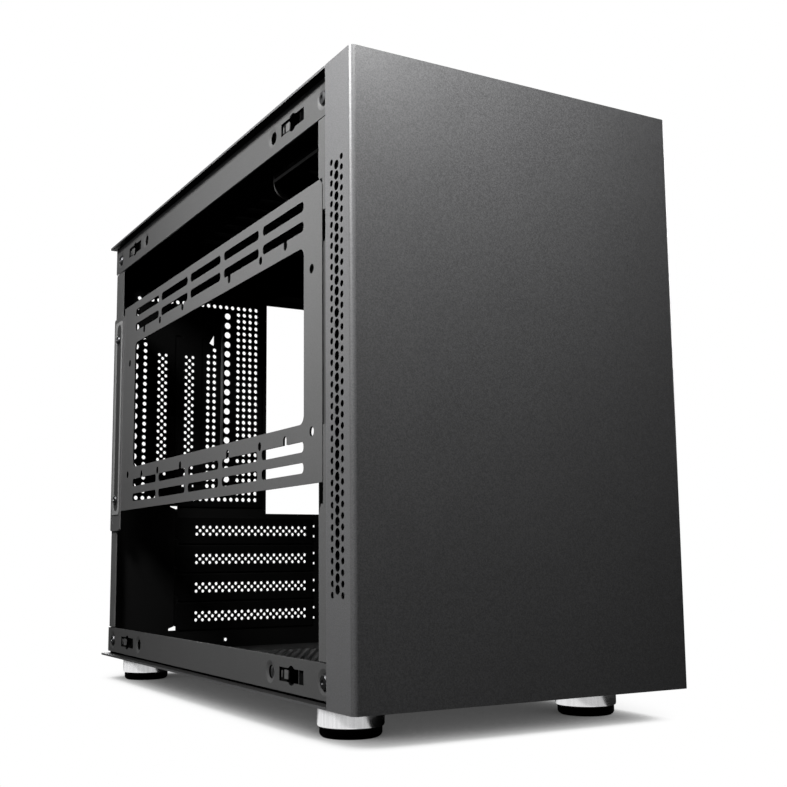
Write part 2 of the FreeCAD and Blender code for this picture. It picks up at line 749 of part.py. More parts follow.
def cover_blank():
    """Card slot cover around the origin: its tab points to -x and back, its blade runs along +x."""
    half = COVER_WIDTH / 2
    blade = box((0, -COVER_THICK, -half), (TAIL_START - SHEET, 0, half))
    tail = box((TAIL_START - SHEET, -COVER_THICK, -COVER_TAIL / 2), (COVER_LENGTH, 0, COVER_TAIL / 2))
    left = -SHEET - COVER_THICK
    tab = box((left, -COVER_THICK, TAB_SHIFT - half), (-SHEET, SHEET + SHELF_REACH, TAB_SHIFT + half))
    neck = box((left, -COVER_THICK, TAB_SHIFT - half), (0, 0, half))
    notch = box((left - COVER_THICK, SHEET + SHELF_REACH / 2 - SCREW_SHANK / 2, TAB_SHIFT - SCREW_SHANK / 2),
                (0, SHEET + SHELF_REACH / 2 + SCREW_SHANK / 2, TAB_SHIFT + half + COVER_THICK))
    return fused([blade, tail, tab, neck]).cut(notch)


def slot_cover(index):
    """One cover over a card slot of the rear panel."""
    return placed(cover_blank(), (SHELF_X, REAR_Y, slot_heights()[index]))


def vertical_slot_xs():
    """Middle of each upright card slot."""
    last = IO_LEFT - VERTICAL_LAST_X
    return [last - SLOT_PITCH * i for i in reversed(range(VERTICAL_COUNT))]


def vertical_slot_cover(index):
    """One cover over an upright slot, with its tab at the top."""
    return placed(cover_blank(), (vertical_slot_xs()[index], VERTICAL_Y, VERTICAL_SHELF_Z), (0, 1, 0), 90)


def plate_holes(y):
    """Two columns of large air holes; the fine holes between them are left to the finished look."""
    holes = []
    for x in (IO_LEFT - LARGE_COLUMN_RIGHT, PLATE_LEFT + LARGE_COLUMN_LEFT):
        for row in range(LARGE_ROWS):
            holes.append(hole_wire("y", y, x, LARGE_LOW_Z + row * HOLE_LARGE_PITCH, HOLE_LARGE, ROUND_SIDES))
    return holes


def rear_vent_plate():
    """Perforated plate screwed inside the rear panel, open where the upright slots sit."""
    y = REAR_Y - SHEET
    outline = square_wire("y", y, (PLATE_LEFT, PLATE_LOW), (PLATE_RIGHT, PLATE_HIGH))
    lap = VERTICAL_PLATE_LAP
    window = square_wire("y", y, (VERTICAL_PLATE_LEFT + lap, VERTICAL_PLATE_LOW + lap),
                         (VERTICAL_PLATE_RIGHT - lap, VERTICAL_PLATE_HIGH - lap))
    return punched("y", SHEET, outline, [window] + plate_holes(y))


def upright_slot_plate():
    """Plate in front of the perforated one, with two upright card slots and a shelf for their screws."""
    y = VERTICAL_Y
    outline = square_wire("y", y, (VERTICAL_PLATE_LEFT, VERTICAL_PLATE_LOW),
                          (VERTICAL_PLATE_RIGHT, VERTICAL_PLATE_HIGH))
    xs = vertical_slot_xs()
    low, high = shelf_span(xs[0] - TAB_SHIFT, xs[-1])
    top = VERTICAL_SHELF_Z + SHEET
    holes = [tab_opening("z", y, top, (low, high), 1)]
    for x in xs:
        window_top = VERTICAL_SHELF_Z - SLOT_WINDOW_START
        holes.append(square_wire("y", y, (x - SLOT_WINDOW_WIDTH / 2, window_top - SLOT_WINDOW_LENGTH),
                                 (x + SLOT_WINDOW_WIDTH / 2, window_top)))
        tail = VERTICAL_SHELF_Z - TAIL_START
        holes.append(square_wire("y", y, (x - TAIL_SLOT_WIDTH / 2, tail - TAIL_SLOT),
                                 (x + TAIL_SLOT_WIDTH / 2, tail)))
    plate = punched("y", SHEET, outline, holes)
    shelf = box((low, y, VERTICAL_SHELF_Z), (high, VERTICAL_Y + SHEET + SHELF_REACH, top))
    bores = []
    for x in xs:
        place = (x + TAB_SHIFT, VERTICAL_Y + SHEET + SHELF_REACH / 2, VERTICAL_SHELF_Z - SHEET)
        bores.append(prism(place, (0, 0, 1), SCREW_SHANK, 3 * SHEET))
    return fused([plate, shelf.cut(Part.makeCompound(bores))])


def slot_screws():
    """One screw through the tab of each slot cover into its shelf."""
    lengthwise = SHEET + SHELF_REACH / 2
    depth = COVER_THICK + 3 * SHEET
    screws = []
    for z in slot_heights():
        place = (SHELF_X - SHEET - COVER_THICK, REAR_Y + lengthwise, z + TAB_SHIFT)
        screws.append(screw(place, (1, 0, 0), 2 * SCREW_SHANK, depth))
    for x in vertical_slot_xs():
        place = (x + TAB_SHIFT, VERTICAL_Y + lengthwise, VERTICAL_SHELF_Z + SHEET + COVER_THICK)
        screws.append(screw(place, (0, 0, -1), 2 * SCREW_SHANK, depth))
    return Part.makeCompound(screws)


def fan_slot_middles():
    """Middle of each fan slot along the bracket."""
    first = BRACKET_MIDDLE_Y - FAN_SLOT_PITCH * (FAN_SLOT_COUNT - 1) / 2
    return [first + FAN_SLOT_PITCH * i for i in range(FAN_SLOT_COUNT)]


def bracket_cuts(x):
    """Outlines of the bracket's window, fan slots, relief slits and screw holes."""
    middle = BRACKET_MIDDLE_Z
    wires = [rounded_wire("x", x, (BRACKET_MIDDLE_Y - WINDOW_LENGTH / 2, middle - WINDOW_HEIGHT / 2),
                          (BRACKET_MIDDLE_Y + WINDOW_LENGTH / 2, middle + WINDOW_HEIGHT / 2), WINDOW_CORNER)]
    half_long, half = FAN_SLOT_LENGTH / 2, FAN_SLOT / 2
    for rise in (-FAN_SPAN_LARGE / 2, -FAN_SPAN_SMALL / 2, FAN_SPAN_SMALL / 2, FAN_SPAN_LARGE / 2):
        for y in fan_slot_middles():
            z = middle + rise
            wires.append(cut_corner_wire("x", x, (y - half_long, z - half), (y + half_long, z + half),
                                         FAN_SLOT_CORNER))
    for y in (BRACKET_FRONT + BRACKET_HOLE_INSET, BRACKET_REAR - BRACKET_HOLE_INSET):
        for z in (middle - BRACKET_HOLE_DROP, middle + BRACKET_HOLE_RISE):
            wires.append(hole_wire("x", x, y, z, BRACKET_HOLE, ROUND_SIDES))
    return wires


def relief_slits():
    """Narrow slits beside the inner rows of fan slots, and between the end slots."""
    middles = fan_slot_middles()
    gap = FAN_SLOT_PITCH / 2
    slits = []
    for side in (-1, 1):
        inner = BRACKET_MIDDLE_Z + side * (FAN_SPAN_SMALL / 2 - FAN_SLOT / 2)
        edge = inner - side * NOTCH_DEPTH
        for y in (middles[0] - 3.5, middles[1] + 16.5, middles[3] - 15.5, middles[4] + 5.5):
            slits.append((y, min(inner, edge), max(inner, edge)))
        for y in (middles[0] + gap, middles[3] + gap):
            slits.append((y, min(inner, edge), max(inner, edge)))
    x0, x1 = RAIL_LEFT - SHEET, RAIL_LEFT + 2 * SHEET
    return [box((x0, y - NOTCH_WIDTH / 2, low), (x1, y + NOTCH_WIDTH / 2, high)) for y, low, high in slits]


def fan_bracket():
    """Long bracket across the open side, slotted for two fans or a radiator."""
    rear = REAR_Y - BRACKET_REAR_LAP
    top = BRACKET_TOP
    low, high = REAR_JOGGLE_LOW + 3 * SHEET, REAR_JOGGLE_HIGH - 3 * SHEET
    step = BRACKET_REAR
    outline = [
        (BRACKET_FRONT, BRACKET_BOTTOM), (step, BRACKET_BOTTOM), (rear, BRACKET_BOTTOM), (rear, high),
        (step, high), (step, top), (BRACKET_FRONT, top),
    ]
    wire = polygon_wire([(RAIL_LEFT, y, z) for y, z in outline])
    plate = punched("x", SHEET, wire, bracket_cuts(RAIL_LEFT))
    plate = plate.cut(Part.makeCompound(relief_slits() + [screw_bore(z) for z in bracket_screw_heights()]))
    hooks = []
    spans = (
        (BRACKET_BOTTOM + HOOK_LAP / 3, POST_RECESS_LOW - SHEET),
        (POST_RECESS_HIGH + SHEET, POST_UPPER_FOOT - SHEET),
    )
    for z0, z1 in spans:
        hooks.append(box((RAIL_LEFT + SHEET, BRACKET_FRONT - HOOK_REACH, z0),
                         (RAIL_LEFT + 2 * SHEET, BRACKET_FRONT + HOOK_LAP, z1)))
    return fused([plate] + hooks)


def bracket_screw_heights():
    """Heights of the two screws at the bracket's rear end."""
    return (BRACKET_BOTTOM + BRACKET_SCREW_RISE, BRACKET_TOP - BRACKET_SCREW_DROP)


def screw_bore(z):
    """Hole for one of the bracket's screws."""
    return prism((RAIL_LEFT - 2 * SHEET, REAR_Y - BRACKET_SCREW_INSET, z), (1, 0, 0), SCREW_SHANK, 4 * SHEET)


def bracket_screws():
    """Two screws that hold the bracket to the rear post."""
    x = RAIL_LEFT - SHEET + JOGGLE_GROOVE
    y = REAR_Y - BRACKET_SCREW_INSET
    return Part.makeCompound([screw((x, y, z), (1, 0, 0), 2 * SCREW_SHANK, 4 * SHEET)
                              for z in bracket_screw_heights()])


def board_holes():
    """Depth and height of each standoff of a micro-ATX board."""
    rear = REAR_Y - BOARD_REAR_GAP
    places = []
    for depth in BOARD_HOLE_DEPTHS:
        for drop in BOARD_HOLE_DROPS:
            at_corner = depth == BOARD_HOLE_DEPTHS[0] and drop == BOARD_HOLE_DROPS[0]
            places.append((rear - (BOARD_HOLE_TOP_REAR if at_corner else depth), BOARD_TOP - drop))
    return places


def motherboard_tray():
    """Upright sheet that carries the board, with a window behind the processor and cable ports."""
    x = TRAY_X
    outline = square_wire("x", x, (TRAY_FRONT, SKIN), (REAR_Y, TOP_INNER))
    rear = REAR_Y - COOLER_REAR
    top = BOARD_TOP - COOLER_DROP
    holes = [cut_corner_wire("x", x, (rear - COOLER_LONG, top - COOLER_HIGH), (rear, top), CORNER)]
    port_y = TRAY_FRONT + PORT_COLUMN_Y
    for i in range(PORT_COUNT):
        port_top = BOARD_TOP - PORT_TOP_DROP - i * PORT_STEP
        holes.append(cut_corner_wire("x", x, (port_y, port_top - PORT_HIGH), (port_y + PORT_WIDE, port_top), CORNER))
    rear = REAR_Y - LEAD_REAR
    low = BOARD_TOP + LEAD_GAP
    holes.append(cut_corner_wire("x", x, (rear - LEAD_LONG, low), (rear, low + LEAD_HIGH), CORNER / 2))
    return punched("x", SHEET, outline, holes)


def standoffs():
    """Hexagonal standoffs with threaded ends: the four lower rear ones have fully round bores."""
    lower = [place for place in board_holes() if place[1] < IO_BOTTOM + STANDOFF_ACROSS]
    pieces = []
    for y, z in board_holes():
        hexagon = hole_wire("x", TRAY_X - STANDOFF_HEIGHT, y, z, STANDOFF_ACROSS, 6)
        body = Part.Face(hexagon).extrude(Vector(STANDOFF_HEIGHT, 0, 0))
        mouth = (TRAY_X - STANDOFF_HEIGHT, y, z)
        if (y, z) in lower:
            bore = cylinder(mouth, (1, 0, 0), STANDOFF_BORE, STANDOFF_HEIGHT - SHEET)
        else:
            bore = prism(mouth, (1, 0, 0), STANDOFF_BORE, STANDOFF_HEIGHT - SHEET)
        pieces.append(body.cut(bore))
    return Part.makeCompound(pieces)


def supply_bracket():
    """Shelf at the top front that a power supply hangs from, with flanges on its edges."""
    x0 = SUPPLY_LEFT
    x1 = SUPPLY_LEFT + SUPPLY_LONG
    y0 = FLANGE_DEPTH + SHEET
    y1 = y0 + SUPPLY_SHORT + SUPPLY_MARGIN
    z = SUPPLY_LEVEL - SHEET
    y_supply = y0 + SUPPLY_MARGIN / 2
    outline = square_wire("z", z, (x0, y0), (x1, y1))
    inset = SUPPLY_WINDOW_INSET
    holes = [cut_corner_wire("z", z, (x0 + inset, y_supply + inset), (x1 - inset, y1 - inset), CORNER)]
    edge = SUPPLY_HOLE_EDGE
    high = SUPPLY_SHORT - edge
    spots = ((edge, high), (SUPPLY_LONG - edge, high), (edge, SUPPLY_HOLE_LOW),
             (SUPPLY_LONG - SUPPLY_HOLE_SIDE, edge))
    for a, b in spots[:2]:
        holes.append(round_wire("z", z, x0 + a, y_supply + b, SUPPLY_HOLE))
    for a, b in spots[2:]:
        holes.append(hole_wire("z", z, x0 + a, y_supply + b, SUPPLY_HOLE, ROUND_SIDES))
    shelf = punched("z", SHEET, outline, holes)
    side = box((x0, y0, SUPPLY_LEVEL - SUPPLY_FLANGE), (x0 + SHEET, y1, SUPPLY_LEVEL))
    low = SUPPLY_LEVEL - SUPPLY_REAR_FLANGE
    rear = [(x0, SUPPLY_LEVEL), (x1, SUPPLY_LEVEL), (x1, low), (x0 + CORNER, low), (x0, low + CORNER)]
    rear_wire = polygon_wire([(x, y1 - SHEET, h) for x, h in rear])
    rear_flange = Part.Face(rear_wire).extrude(Vector(0, SHEET, 0))
    front_flange = box((x0 + CORNER, y0, low), (x1 - CORNER, y0 + SHEET, SUPPLY_LEVEL))
    return fused([shelf, side, rear_flange, front_flange])


def grille_wires(z):
    """Parallel air slots of the top and bottom sheets."""
    x0 = WIDTH / 2 - GRILLE_LENGTH / 2
    first = GRILLE_MIDDLE_Y - GRILLE_PITCH * (GRILLE_COUNT - 1) / 2
    wires = []
    for i in range(GRILLE_COUNT):
        y = first + GRILLE_PITCH * i
        wires.append(square_wire("z", z, (x0, y - GRILLE_SLOT / 2), (x0 + GRILLE_LENGTH, y + GRILLE_SLOT / 2)))
    return wires


def port_xs():
    """Places of the controls and ports along the top, from the left."""
    names = ("usb_left", "usb_right", "usb_small", "audio", "reset", "power")
    steps = (0.0, 1.0, 1.9, 2.6, 3.2, 4.0)
    return {name: WIDTH / 2 - PORT_ROW_START + step * PORT_PITCH for name, step in zip(names, steps)}


def port_wires(z, gap):
    """Openings for the controls and ports, with a gap all round."""
    xs = port_xs()
    wires = []
    for name in ("usb_left", "usb_right"):
        wires.append(square_wire("z", z, (xs[name] - USB_LONG / 2 - gap, PORT_Y - USB_SHORT / 2 - gap),
                                 (xs[name] + USB_LONG / 2 + gap, PORT_Y + USB_SHORT / 2 + gap)))
    x = xs["usb_small"]
    wires.append(square_wire("z", z, (x - USB_SMALL_LONG / 2 - gap, PORT_Y - USB_SMALL_SHORT / 2 - gap),
                             (x + USB_SMALL_LONG / 2 + gap, PORT_Y + USB_SMALL_SHORT / 2 + gap)))
    for name, across in (("audio", AUDIO_HOLE), ("reset", RESET_HOLE), ("power", BUTTON_HOLE)):
        wires.append(hole_wire("z", z, xs[name], PORT_Y, across + 2 * gap, KEY_SIDES))
    return wires


def top_panel():
    """Outer top sheet: it reaches past the rails on both sides."""
    z = TOP_INNER
    outline = square_wire("z", z, (0, FLANGE_DEPTH), (WIDTH, DEPTH))
    return punched("z", SKIN, outline, grille_wires(z) + port_wires(z, CLEAR))


def bottom_panel():
    """Outer bottom sheet, the same width as the top."""
    outline = square_wire("z", 0, (0, FLANGE_DEPTH), (WIDTH, DEPTH))
    holes = [hole_wire("z", 0, x, y, FOOT_SCREW, 6) for x, y in foot_places()]
    return punched("z", SKIN, outline, grille_wires(0) + holes)


def filter_frame(z, inset):
    """Thin rim with a mesh sheet in its lower half, over the air slots."""
    x0 = WIDTH / 2 - GRILLE_LENGTH / 2 - FILTER_MARGIN
    x1 = WIDTH - x0
    reach = GRILLE_PITCH * GRILLE_COUNT / 2 + FILTER_MARGIN
    y0, y1 = GRILLE_MIDDLE_Y - reach, GRILLE_MIDDLE_Y + reach
    outer = cut_corner_wire("z", z, (x0, y0), (x1, y1), CORNER)
    inner = square_wire("z", z, (x0 + FILTER_RIM, y0 + FILTER_RIM), (x1 - FILTER_RIM, y1 - FILTER_RIM))
    rim = punched("z", FILTER_THICK, outer, [inner])
    mesh = box((x0 + FILTER_RIM, y0 + FILTER_RIM, z + inset),
               (x1 - FILTER_RIM, y1 - FILTER_RIM, z + inset + FILTER_MESH))
    return fused([rim, mesh])


def top_filter():
    """Dust filter that clings to the top sheet."""
    return filter_frame(HEIGHT, FILTER_MESH / 2)


def bottom_filter():
    """Dust filter that slides under the bottom sheet."""
    return filter_frame(-CLEAR - FILTER_THICK, FILTER_MESH / 2)


def filter_rails():
    """Two hooked strips under the bottom sheet that carry the sliding filter."""
    x0 = WIDTH / 2 - GRILLE_LENGTH / 2 - FILTER_MARGIN - CLEAR
    reach = GRILLE_PITCH * GRILLE_COUNT / 2 + FILTER_MARGIN
    y0, y1 = GRILLE_MIDDLE_Y - reach, GRILLE_MIDDLE_Y + reach
    drop = 2 * CLEAR + FILTER_THICK
    outline = [(x0 - SHEET, 0), (x0, 0), (x0, -drop), (x0 + FILTER_RAIL, -drop),
               (x0 + FILTER_RAIL, -drop - SHEET), (x0 - SHEET, -drop - SHEET)]
    wire = polygon_wire([(x, y0, z) for x, z in outline])
    rail = Part.Face(wire).extrude(Vector(0, y1 - y0, 0))
    return Part.makeCompound([rail, mirrored_x(rail)])


def port_box():
    """Block under the top sheet that holds the ports and the switches."""
    xs = port_xs()
    low = TOP_INNER - PORT_BOX_DEPTH
    block = box((xs["usb_left"] - USB_LONG / 2 - PORT_BOX_END, PORT_Y - PORT_BOX_WIDTH / 2, low),
                (xs["power"] + BUTTON_HOLE / 2 + PORT_BOX_END, PORT_Y + PORT_BOX_WIDTH / 2, TOP_INNER))
    deep = TOP_INNER - PORT_DEPTH
    cuts = [Part.Face(wire).extrude(Vector(0, 0, PORT_DEPTH)) for wire in port_wires(deep, 0.0)[:4]]
    for name, across in (("reset", RESET_HOLE), ("power", BUTTON_HOLE)):
        half = across / 2 + BUTTON_FLANGE + CLEAR
        cuts.append(box((xs[name] - half, PORT_Y - half, deep), (xs[name] + half, PORT_Y + half, TOP_INNER)))
    return block.cut(Part.makeCompound(cuts))


def push_button(name, across):
    """Round key with a flange that keeps it under the sheet."""
    x = port_xs()[name]
    flange_top = TOP_INNER - CLEAR / 3
    key = prism((x, PORT_Y, flange_top), (0, 0, 1), across, HEIGHT + BUTTON_PROUD - flange_top, KEY_SIDES)
    half = across / 2 + BUTTON_FLANGE
    flange_low = flange_top - BUTTON_FLANGE
    flange = box((x - half, PORT_Y - half, flange_low), (x + half, PORT_Y + half, flange_top))
    stem_low = flange_low - (PORT_DEPTH - BUTTON_FLANGE - BUTTON_TRAVEL - 3 * CLEAR)
    half = SCREW_SHANK / 2
    stem = box((x - half, PORT_Y - half, stem_low), (x + half, PORT_Y + half, flange_low))
    return fused([key, flange, stem])


def usb_port(name, long, short):
    """Metal shell with a tongue, flush with the top."""
    x = port_xs()[name]
    wall = 0.5
    low = TOP_INNER - PORT_DEPTH
    shell = box((x - long / 2, PORT_Y - short / 2, low), (x + long / 2, PORT_Y + short / 2, HEIGHT))
    room = box((x - long / 2 + wall, PORT_Y - short / 2 + wall, low + SHEET),
               (x + long / 2 - wall, PORT_Y + short / 2 - wall, HEIGHT))
    tongue = box((x - long / 2 + 2 * wall, PORT_Y - short / 8, low + SHEET),
                 (x + long / 2 - 2 * wall, PORT_Y + short / 8, HEIGHT - SKIN))
    return fused([shell.cut(room), tongue])


def audio_port():
    """Round socket for a headset."""
    x = port_xs()["audio"]
    low = TOP_INNER - PORT_DEPTH
    body = prism((x, PORT_Y, low), (0, 0, 1), AUDIO_HOLE, PORT_DEPTH + SKIN, KEY_SIDES)
    return body.cut(prism((x, PORT_Y, low + SHEET), (0, 0, 1), AUDIO_HOLE / 2, PORT_DEPTH + SKIN, ROUND_SIDES))


def power_inlet():
    """Mains socket in the rear panel: flange outside, body inside, three blades in its cavity."""
    flange = box((INLET_X - INLET_FLANGE_LONG / 2, REAR_OUT, INLET_Z - INLET_FLANGE_SHORT / 2),
                 (INLET_X + INLET_FLANGE_LONG / 2, REAR_OUT + INLET_FLANGE_THICK, INLET_Z + INLET_FLANGE_SHORT / 2))
    body = box((INLET_X - INLET_LONG / 2, REAR_OUT - INLET_BODY, INLET_Z - INLET_SHORT / 2),
               (INLET_X + INLET_LONG / 2, REAR_OUT, INLET_Z + INLET_SHORT / 2))
    a = INLET_LONG / 2 - INLET_WALL
    b = INLET_SHORT / 2 - INLET_WALL
    c = CORNER * 0.7
    outline = [(-a, -b), (a, -b), (a, b - c), (a - c, b), (-a + c, b), (-a, b - c)]
    mouth = REAR_OUT + INLET_FLANGE_THICK
    cavity_wire = polygon_wire([(INLET_X + p, mouth, INLET_Z + q) for p, q in outline])
    cavity = Part.Face(cavity_wire).extrude(Vector(0, -(INLET_BODY - INLET_WALL), 0))
    blades = []
    for p, q in ((-7.0, -1.5), (0.0, 2.5), (7.0, -1.5)):
        blades.append(box((INLET_X + p - 1.0, REAR_OUT - INLET_BODY + INLET_WALL, INLET_Z + q - 2.0),
                          (INLET_X + p + 1.0, REAR_OUT - INLET_WALL, INLET_Z + q + 2.0)))
    return fused([fused([flange, body]).cut(cavity)] + blades)


def foot_places():
    """Centres of the four feet."""
    rear = DEPTH - FOOT_INSET_REAR
    right = WIDTH - FOOT_INSET_X
    return [(x, y) for x in (FOOT_INSET_X, right) for y in (FOOT_INSET_FRONT, rear)]


def round_outline(x, y, z, across):
    """Ring with FOOT_SIDES flats at one height."""
    return hole_wire("z", z, x, y, across, FOOT_SIDES)


def feet():
    """Four turned metal feet, each with a bore for its screw."""
    pieces = []
    for x, y in foot_places():
        body = prism((x, y, -FOOT_METAL), (0, 0, 1), FOOT_ACROSS, FOOT_METAL, FOOT_SIDES)
        pieces.append(body.cut(prism((x, y, -FOOT_SCREW_LENGTH), (0, 0, 1), FOOT_SCREW, FOOT_SCREW_LENGTH)))
    return Part.makeCompound(pieces)


def foot_pads():
    """Four rubber pads under the feet, each with a chamfered sole."""
    pieces = []
    for x, y in foot_places():
        sole_ring = round_outline(x, y, -FOOT_HEIGHT, PAD_ACROSS - 2 * PAD_CHAMFER)
        edge_ring = round_outline(x, y, PAD_CHAMFER - FOOT_HEIGHT, PAD_ACROSS)
        top_ring = round_outline(x, y, -FOOT_METAL, PAD_ACROSS)
        pieces.append(Part.makeLoft([sole_ring, edge_ring, top_ring], True, True))
    return Part.makeCompound(pieces)


def foot_screws():
    """One screw down into each foot from inside the case."""
    screws = []
    for x, y in foot_places():
        head = prism((x, y, SKIN), (0, 0, 1), SCREW_HEAD, 2 * SHEET)
        shank = prism((x, y, -FOOT_SCREW_LENGTH), (0, 0, 1), FOOT_SCREW, FOOT_SCREW_LENGTH + SKIN)
        screws.append(fused([head, shank]))
    return Part.makeCompound(screws)


def right_side_panel():
    """Steel side panel on the closed side: a shallow pan between the top and bottom lips."""
    y0, y1 = FLANGE_DEPTH + CLEAR, DEPTH
    z0, z1 = SKIN + CLEAR, TOP_INNER - CLEAR
    outer = box((WIDTH - SHEET - SIDE_RIM, y0, z0), (WIDTH, y1, z1))
    room = box((WIDTH - SHEET - SIDE_RIM, y0 + SHEET, z0 + SHEET), (WIDTH - SHEET, y1 - SHEET, z1 - SHEET))
    return outer.cut(room)


def right_panel_studs():
    """Four snap studs on the inside of the right side panel."""
    reach = LIP
    return Part.makeCompound([stud((WIDTH - SHEET, y, z), (-1, 0, 0), reach) for y, z in rail_clip_places()])


def drive_bracket():
    """Shallow tray for a small drive behind the motherboard tray."""
    x = TRAY_X + SHEET
    outer = box((x, DRIVE_Y, DRIVE_Z), (x + DRIVE_RIM, DRIVE_Y + DRIVE_LONG, DRIVE_Z + DRIVE_WIDE))
    room = box((x + SHEET, DRIVE_Y + SHEET, DRIVE_Z - SHEET),
               (x + DRIVE_RIM + SHEET, DRIVE_Y + DRIVE_LONG - SHEET, DRIVE_Z + DRIVE_WIDE + SHEET))
    return outer.cut(room)


def all_nodes():
    """Every piece by name."""
    bottom_left = left_bottom_rail(BOTTOM_RAIL)
    top_left = flipped_z(left_bottom_rail(TOP_RAIL))
    nodes = {
        "front_panel": front_panel(),
        "front_panel_studs": front_panel_studs(),
        "front_frame": front_frame(),
        "front_clips": front_clips(),
        "top_panel": top_panel(),
        "bottom_panel": bottom_panel(),
        "left_bottom_rail": bottom_left,
        "right_bottom_rail": mirrored_x(bottom_left),
        "left_top_rail": top_left,
        "right_top_rail": mirrored_x(top_left),
        "left_clips": left_clips(),
        "right_clips": right_clips(),
        "rail_screws": rail_screws(),
        "rear_panel": rear_panel(),
        "rear_vent_plate": rear_vent_plate(),
        "upright_slot_plate": upright_slot_plate(),
        "slot_screws": slot_screws(),
        "fan_bracket": fan_bracket(),
        "fan_bracket_screws": bracket_screws(),
        "motherboard_tray": motherboard_tray(),
        "standoffs": standoffs(),
        "supply_bracket": supply_bracket(),
        "top_filter": top_filter(),
        "bottom_filter": bottom_filter(),
        "filter_rails": filter_rails(),
        "port_box": port_box(),
        "power_button": push_button("power", BUTTON_HOLE),
        "reset_button": push_button("reset", RESET_HOLE),
        "usb_port_left": usb_port("usb_left", USB_LONG, USB_SHORT),
        "usb_port_right": usb_port("usb_right", USB_LONG, USB_SHORT),
        "usb_port_small": usb_port("usb_small", USB_SMALL_LONG, USB_SMALL_SHORT),
        "audio_port": audio_port(),
        "power_inlet": power_inlet(),
        "feet": feet(),
        "foot_pads": foot_pads(),
        "foot_screws": foot_screws(),
        "right_side_panel": right_side_panel(),
        "right_panel_studs": right_panel_studs(),
        "drive_bracket": drive_bracket(),
    }
    for i in range(SLOT_COUNT):
        nodes["slot_cover_%d" % (i + 1)] = slot_cover(i)
    for i in range(VERTICAL_COUNT):
        nodes["vertical_slot_cover_%d" % (i + 1)] = vertical_slot_cover(i)
    return nodes


def main():
    os.makedirs("parts", exist_ok=True)
    shift = Vector(-WIDTH / 2, -TOTAL_DEPTH / 2, FOOT_HEIGHT)
    for name, shape in all_nodes().items():
        moved = shape.copy()
        moved.translate(shift)
        if not moved.isValid() or not moved.Solids:
            print("not a valid solid:", name)
        moved.exportStep("parts/" + name + ".step")
    print("wrote", len(os.listdir("parts")), "files")


main()
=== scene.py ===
import json
import math

import bmesh
import bpy
from mathutils import Matrix, Vector

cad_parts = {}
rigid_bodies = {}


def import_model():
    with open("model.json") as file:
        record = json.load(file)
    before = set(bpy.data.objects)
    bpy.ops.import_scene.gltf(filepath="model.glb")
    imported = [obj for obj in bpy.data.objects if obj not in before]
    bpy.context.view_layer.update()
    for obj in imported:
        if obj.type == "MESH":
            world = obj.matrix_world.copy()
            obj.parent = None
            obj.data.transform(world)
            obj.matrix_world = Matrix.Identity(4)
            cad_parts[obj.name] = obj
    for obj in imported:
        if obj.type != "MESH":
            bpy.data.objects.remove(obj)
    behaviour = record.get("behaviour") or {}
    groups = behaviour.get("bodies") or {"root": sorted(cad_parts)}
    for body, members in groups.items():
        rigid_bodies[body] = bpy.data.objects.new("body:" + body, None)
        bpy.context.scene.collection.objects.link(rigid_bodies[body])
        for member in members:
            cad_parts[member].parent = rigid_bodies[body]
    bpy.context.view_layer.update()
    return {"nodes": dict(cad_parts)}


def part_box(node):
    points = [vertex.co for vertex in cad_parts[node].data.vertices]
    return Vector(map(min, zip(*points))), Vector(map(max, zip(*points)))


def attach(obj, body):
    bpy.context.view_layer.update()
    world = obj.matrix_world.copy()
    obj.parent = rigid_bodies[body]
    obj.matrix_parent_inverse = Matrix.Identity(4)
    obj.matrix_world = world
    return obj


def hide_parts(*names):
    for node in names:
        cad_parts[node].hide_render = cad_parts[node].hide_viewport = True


# Compact computer case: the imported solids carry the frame, this script gives them their finish and
# replaces the perforated and turned pieces with finer meshes. Case coordinates are millimetres from
# the lower left corner of the front face: u to the right, v to the back, w up. Meshes are in metres.

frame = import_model()
MM = 0.001

FRONT_LOW, FRONT_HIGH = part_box("front_panel")
CORNER = Vector(FRONT_LOW)
WIDTH = (FRONT_HIGH[0] - FRONT_LOW[0]) / MM
HEIGHT = (FRONT_HIGH[2] - FRONT_LOW[2]) / MM
FLANGE_END = (FRONT_HIGH[1] - FRONT_LOW[1]) / MM
CHASSIS = "chassis"


def case_box(node):
    """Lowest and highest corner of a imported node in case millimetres."""
    low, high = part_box(node)
    return (Vector(low) - CORNER) / MM, (Vector(high) - CORNER) / MM


# Camera, fitted to the photograph's edges

EYE = Vector((-216.87, -409.76, 63.02))
YAW = math.radians(29.646)
PITCH = math.radians(7.462)
ROLL = math.radians(-0.505)
LENS = 51.32
SENSOR = 36.0
SHIFT = (0.0092, 0.0239)
NEAREST = 0.01


def add_camera():
    """Camera with the photograph's view of the case."""
    data = bpy.data.cameras.new("camera")
    data.lens = LENS
    data.sensor_width = SENSOR
    data.shift_x, data.shift_y = SHIFT
    data.clip_start = NEAREST
    camera = bpy.data.objects.new("camera", data)
    bpy.context.scene.collection.objects.link(camera)
    ahead = Vector((math.sin(YAW) * math.cos(PITCH), math.cos(YAW) * math.cos(PITCH), math.sin(PITCH)))
    level_right = Vector((math.cos(YAW), -math.sin(YAW), 0.0))
    level_up = level_right.cross(ahead)
    right = level_right * math.cos(ROLL) + level_up * math.sin(ROLL)
    up = level_up * math.cos(ROLL) - level_right * math.sin(ROLL)
    turn = Matrix((right, up, -ahead)).transposed()
    camera.matrix_world = Matrix.Translation(CORNER + EYE * MM) @ turn.to_4x4()
    bpy.context.scene.camera = camera


# Materials, with noise scales per metre and bump distances in metres

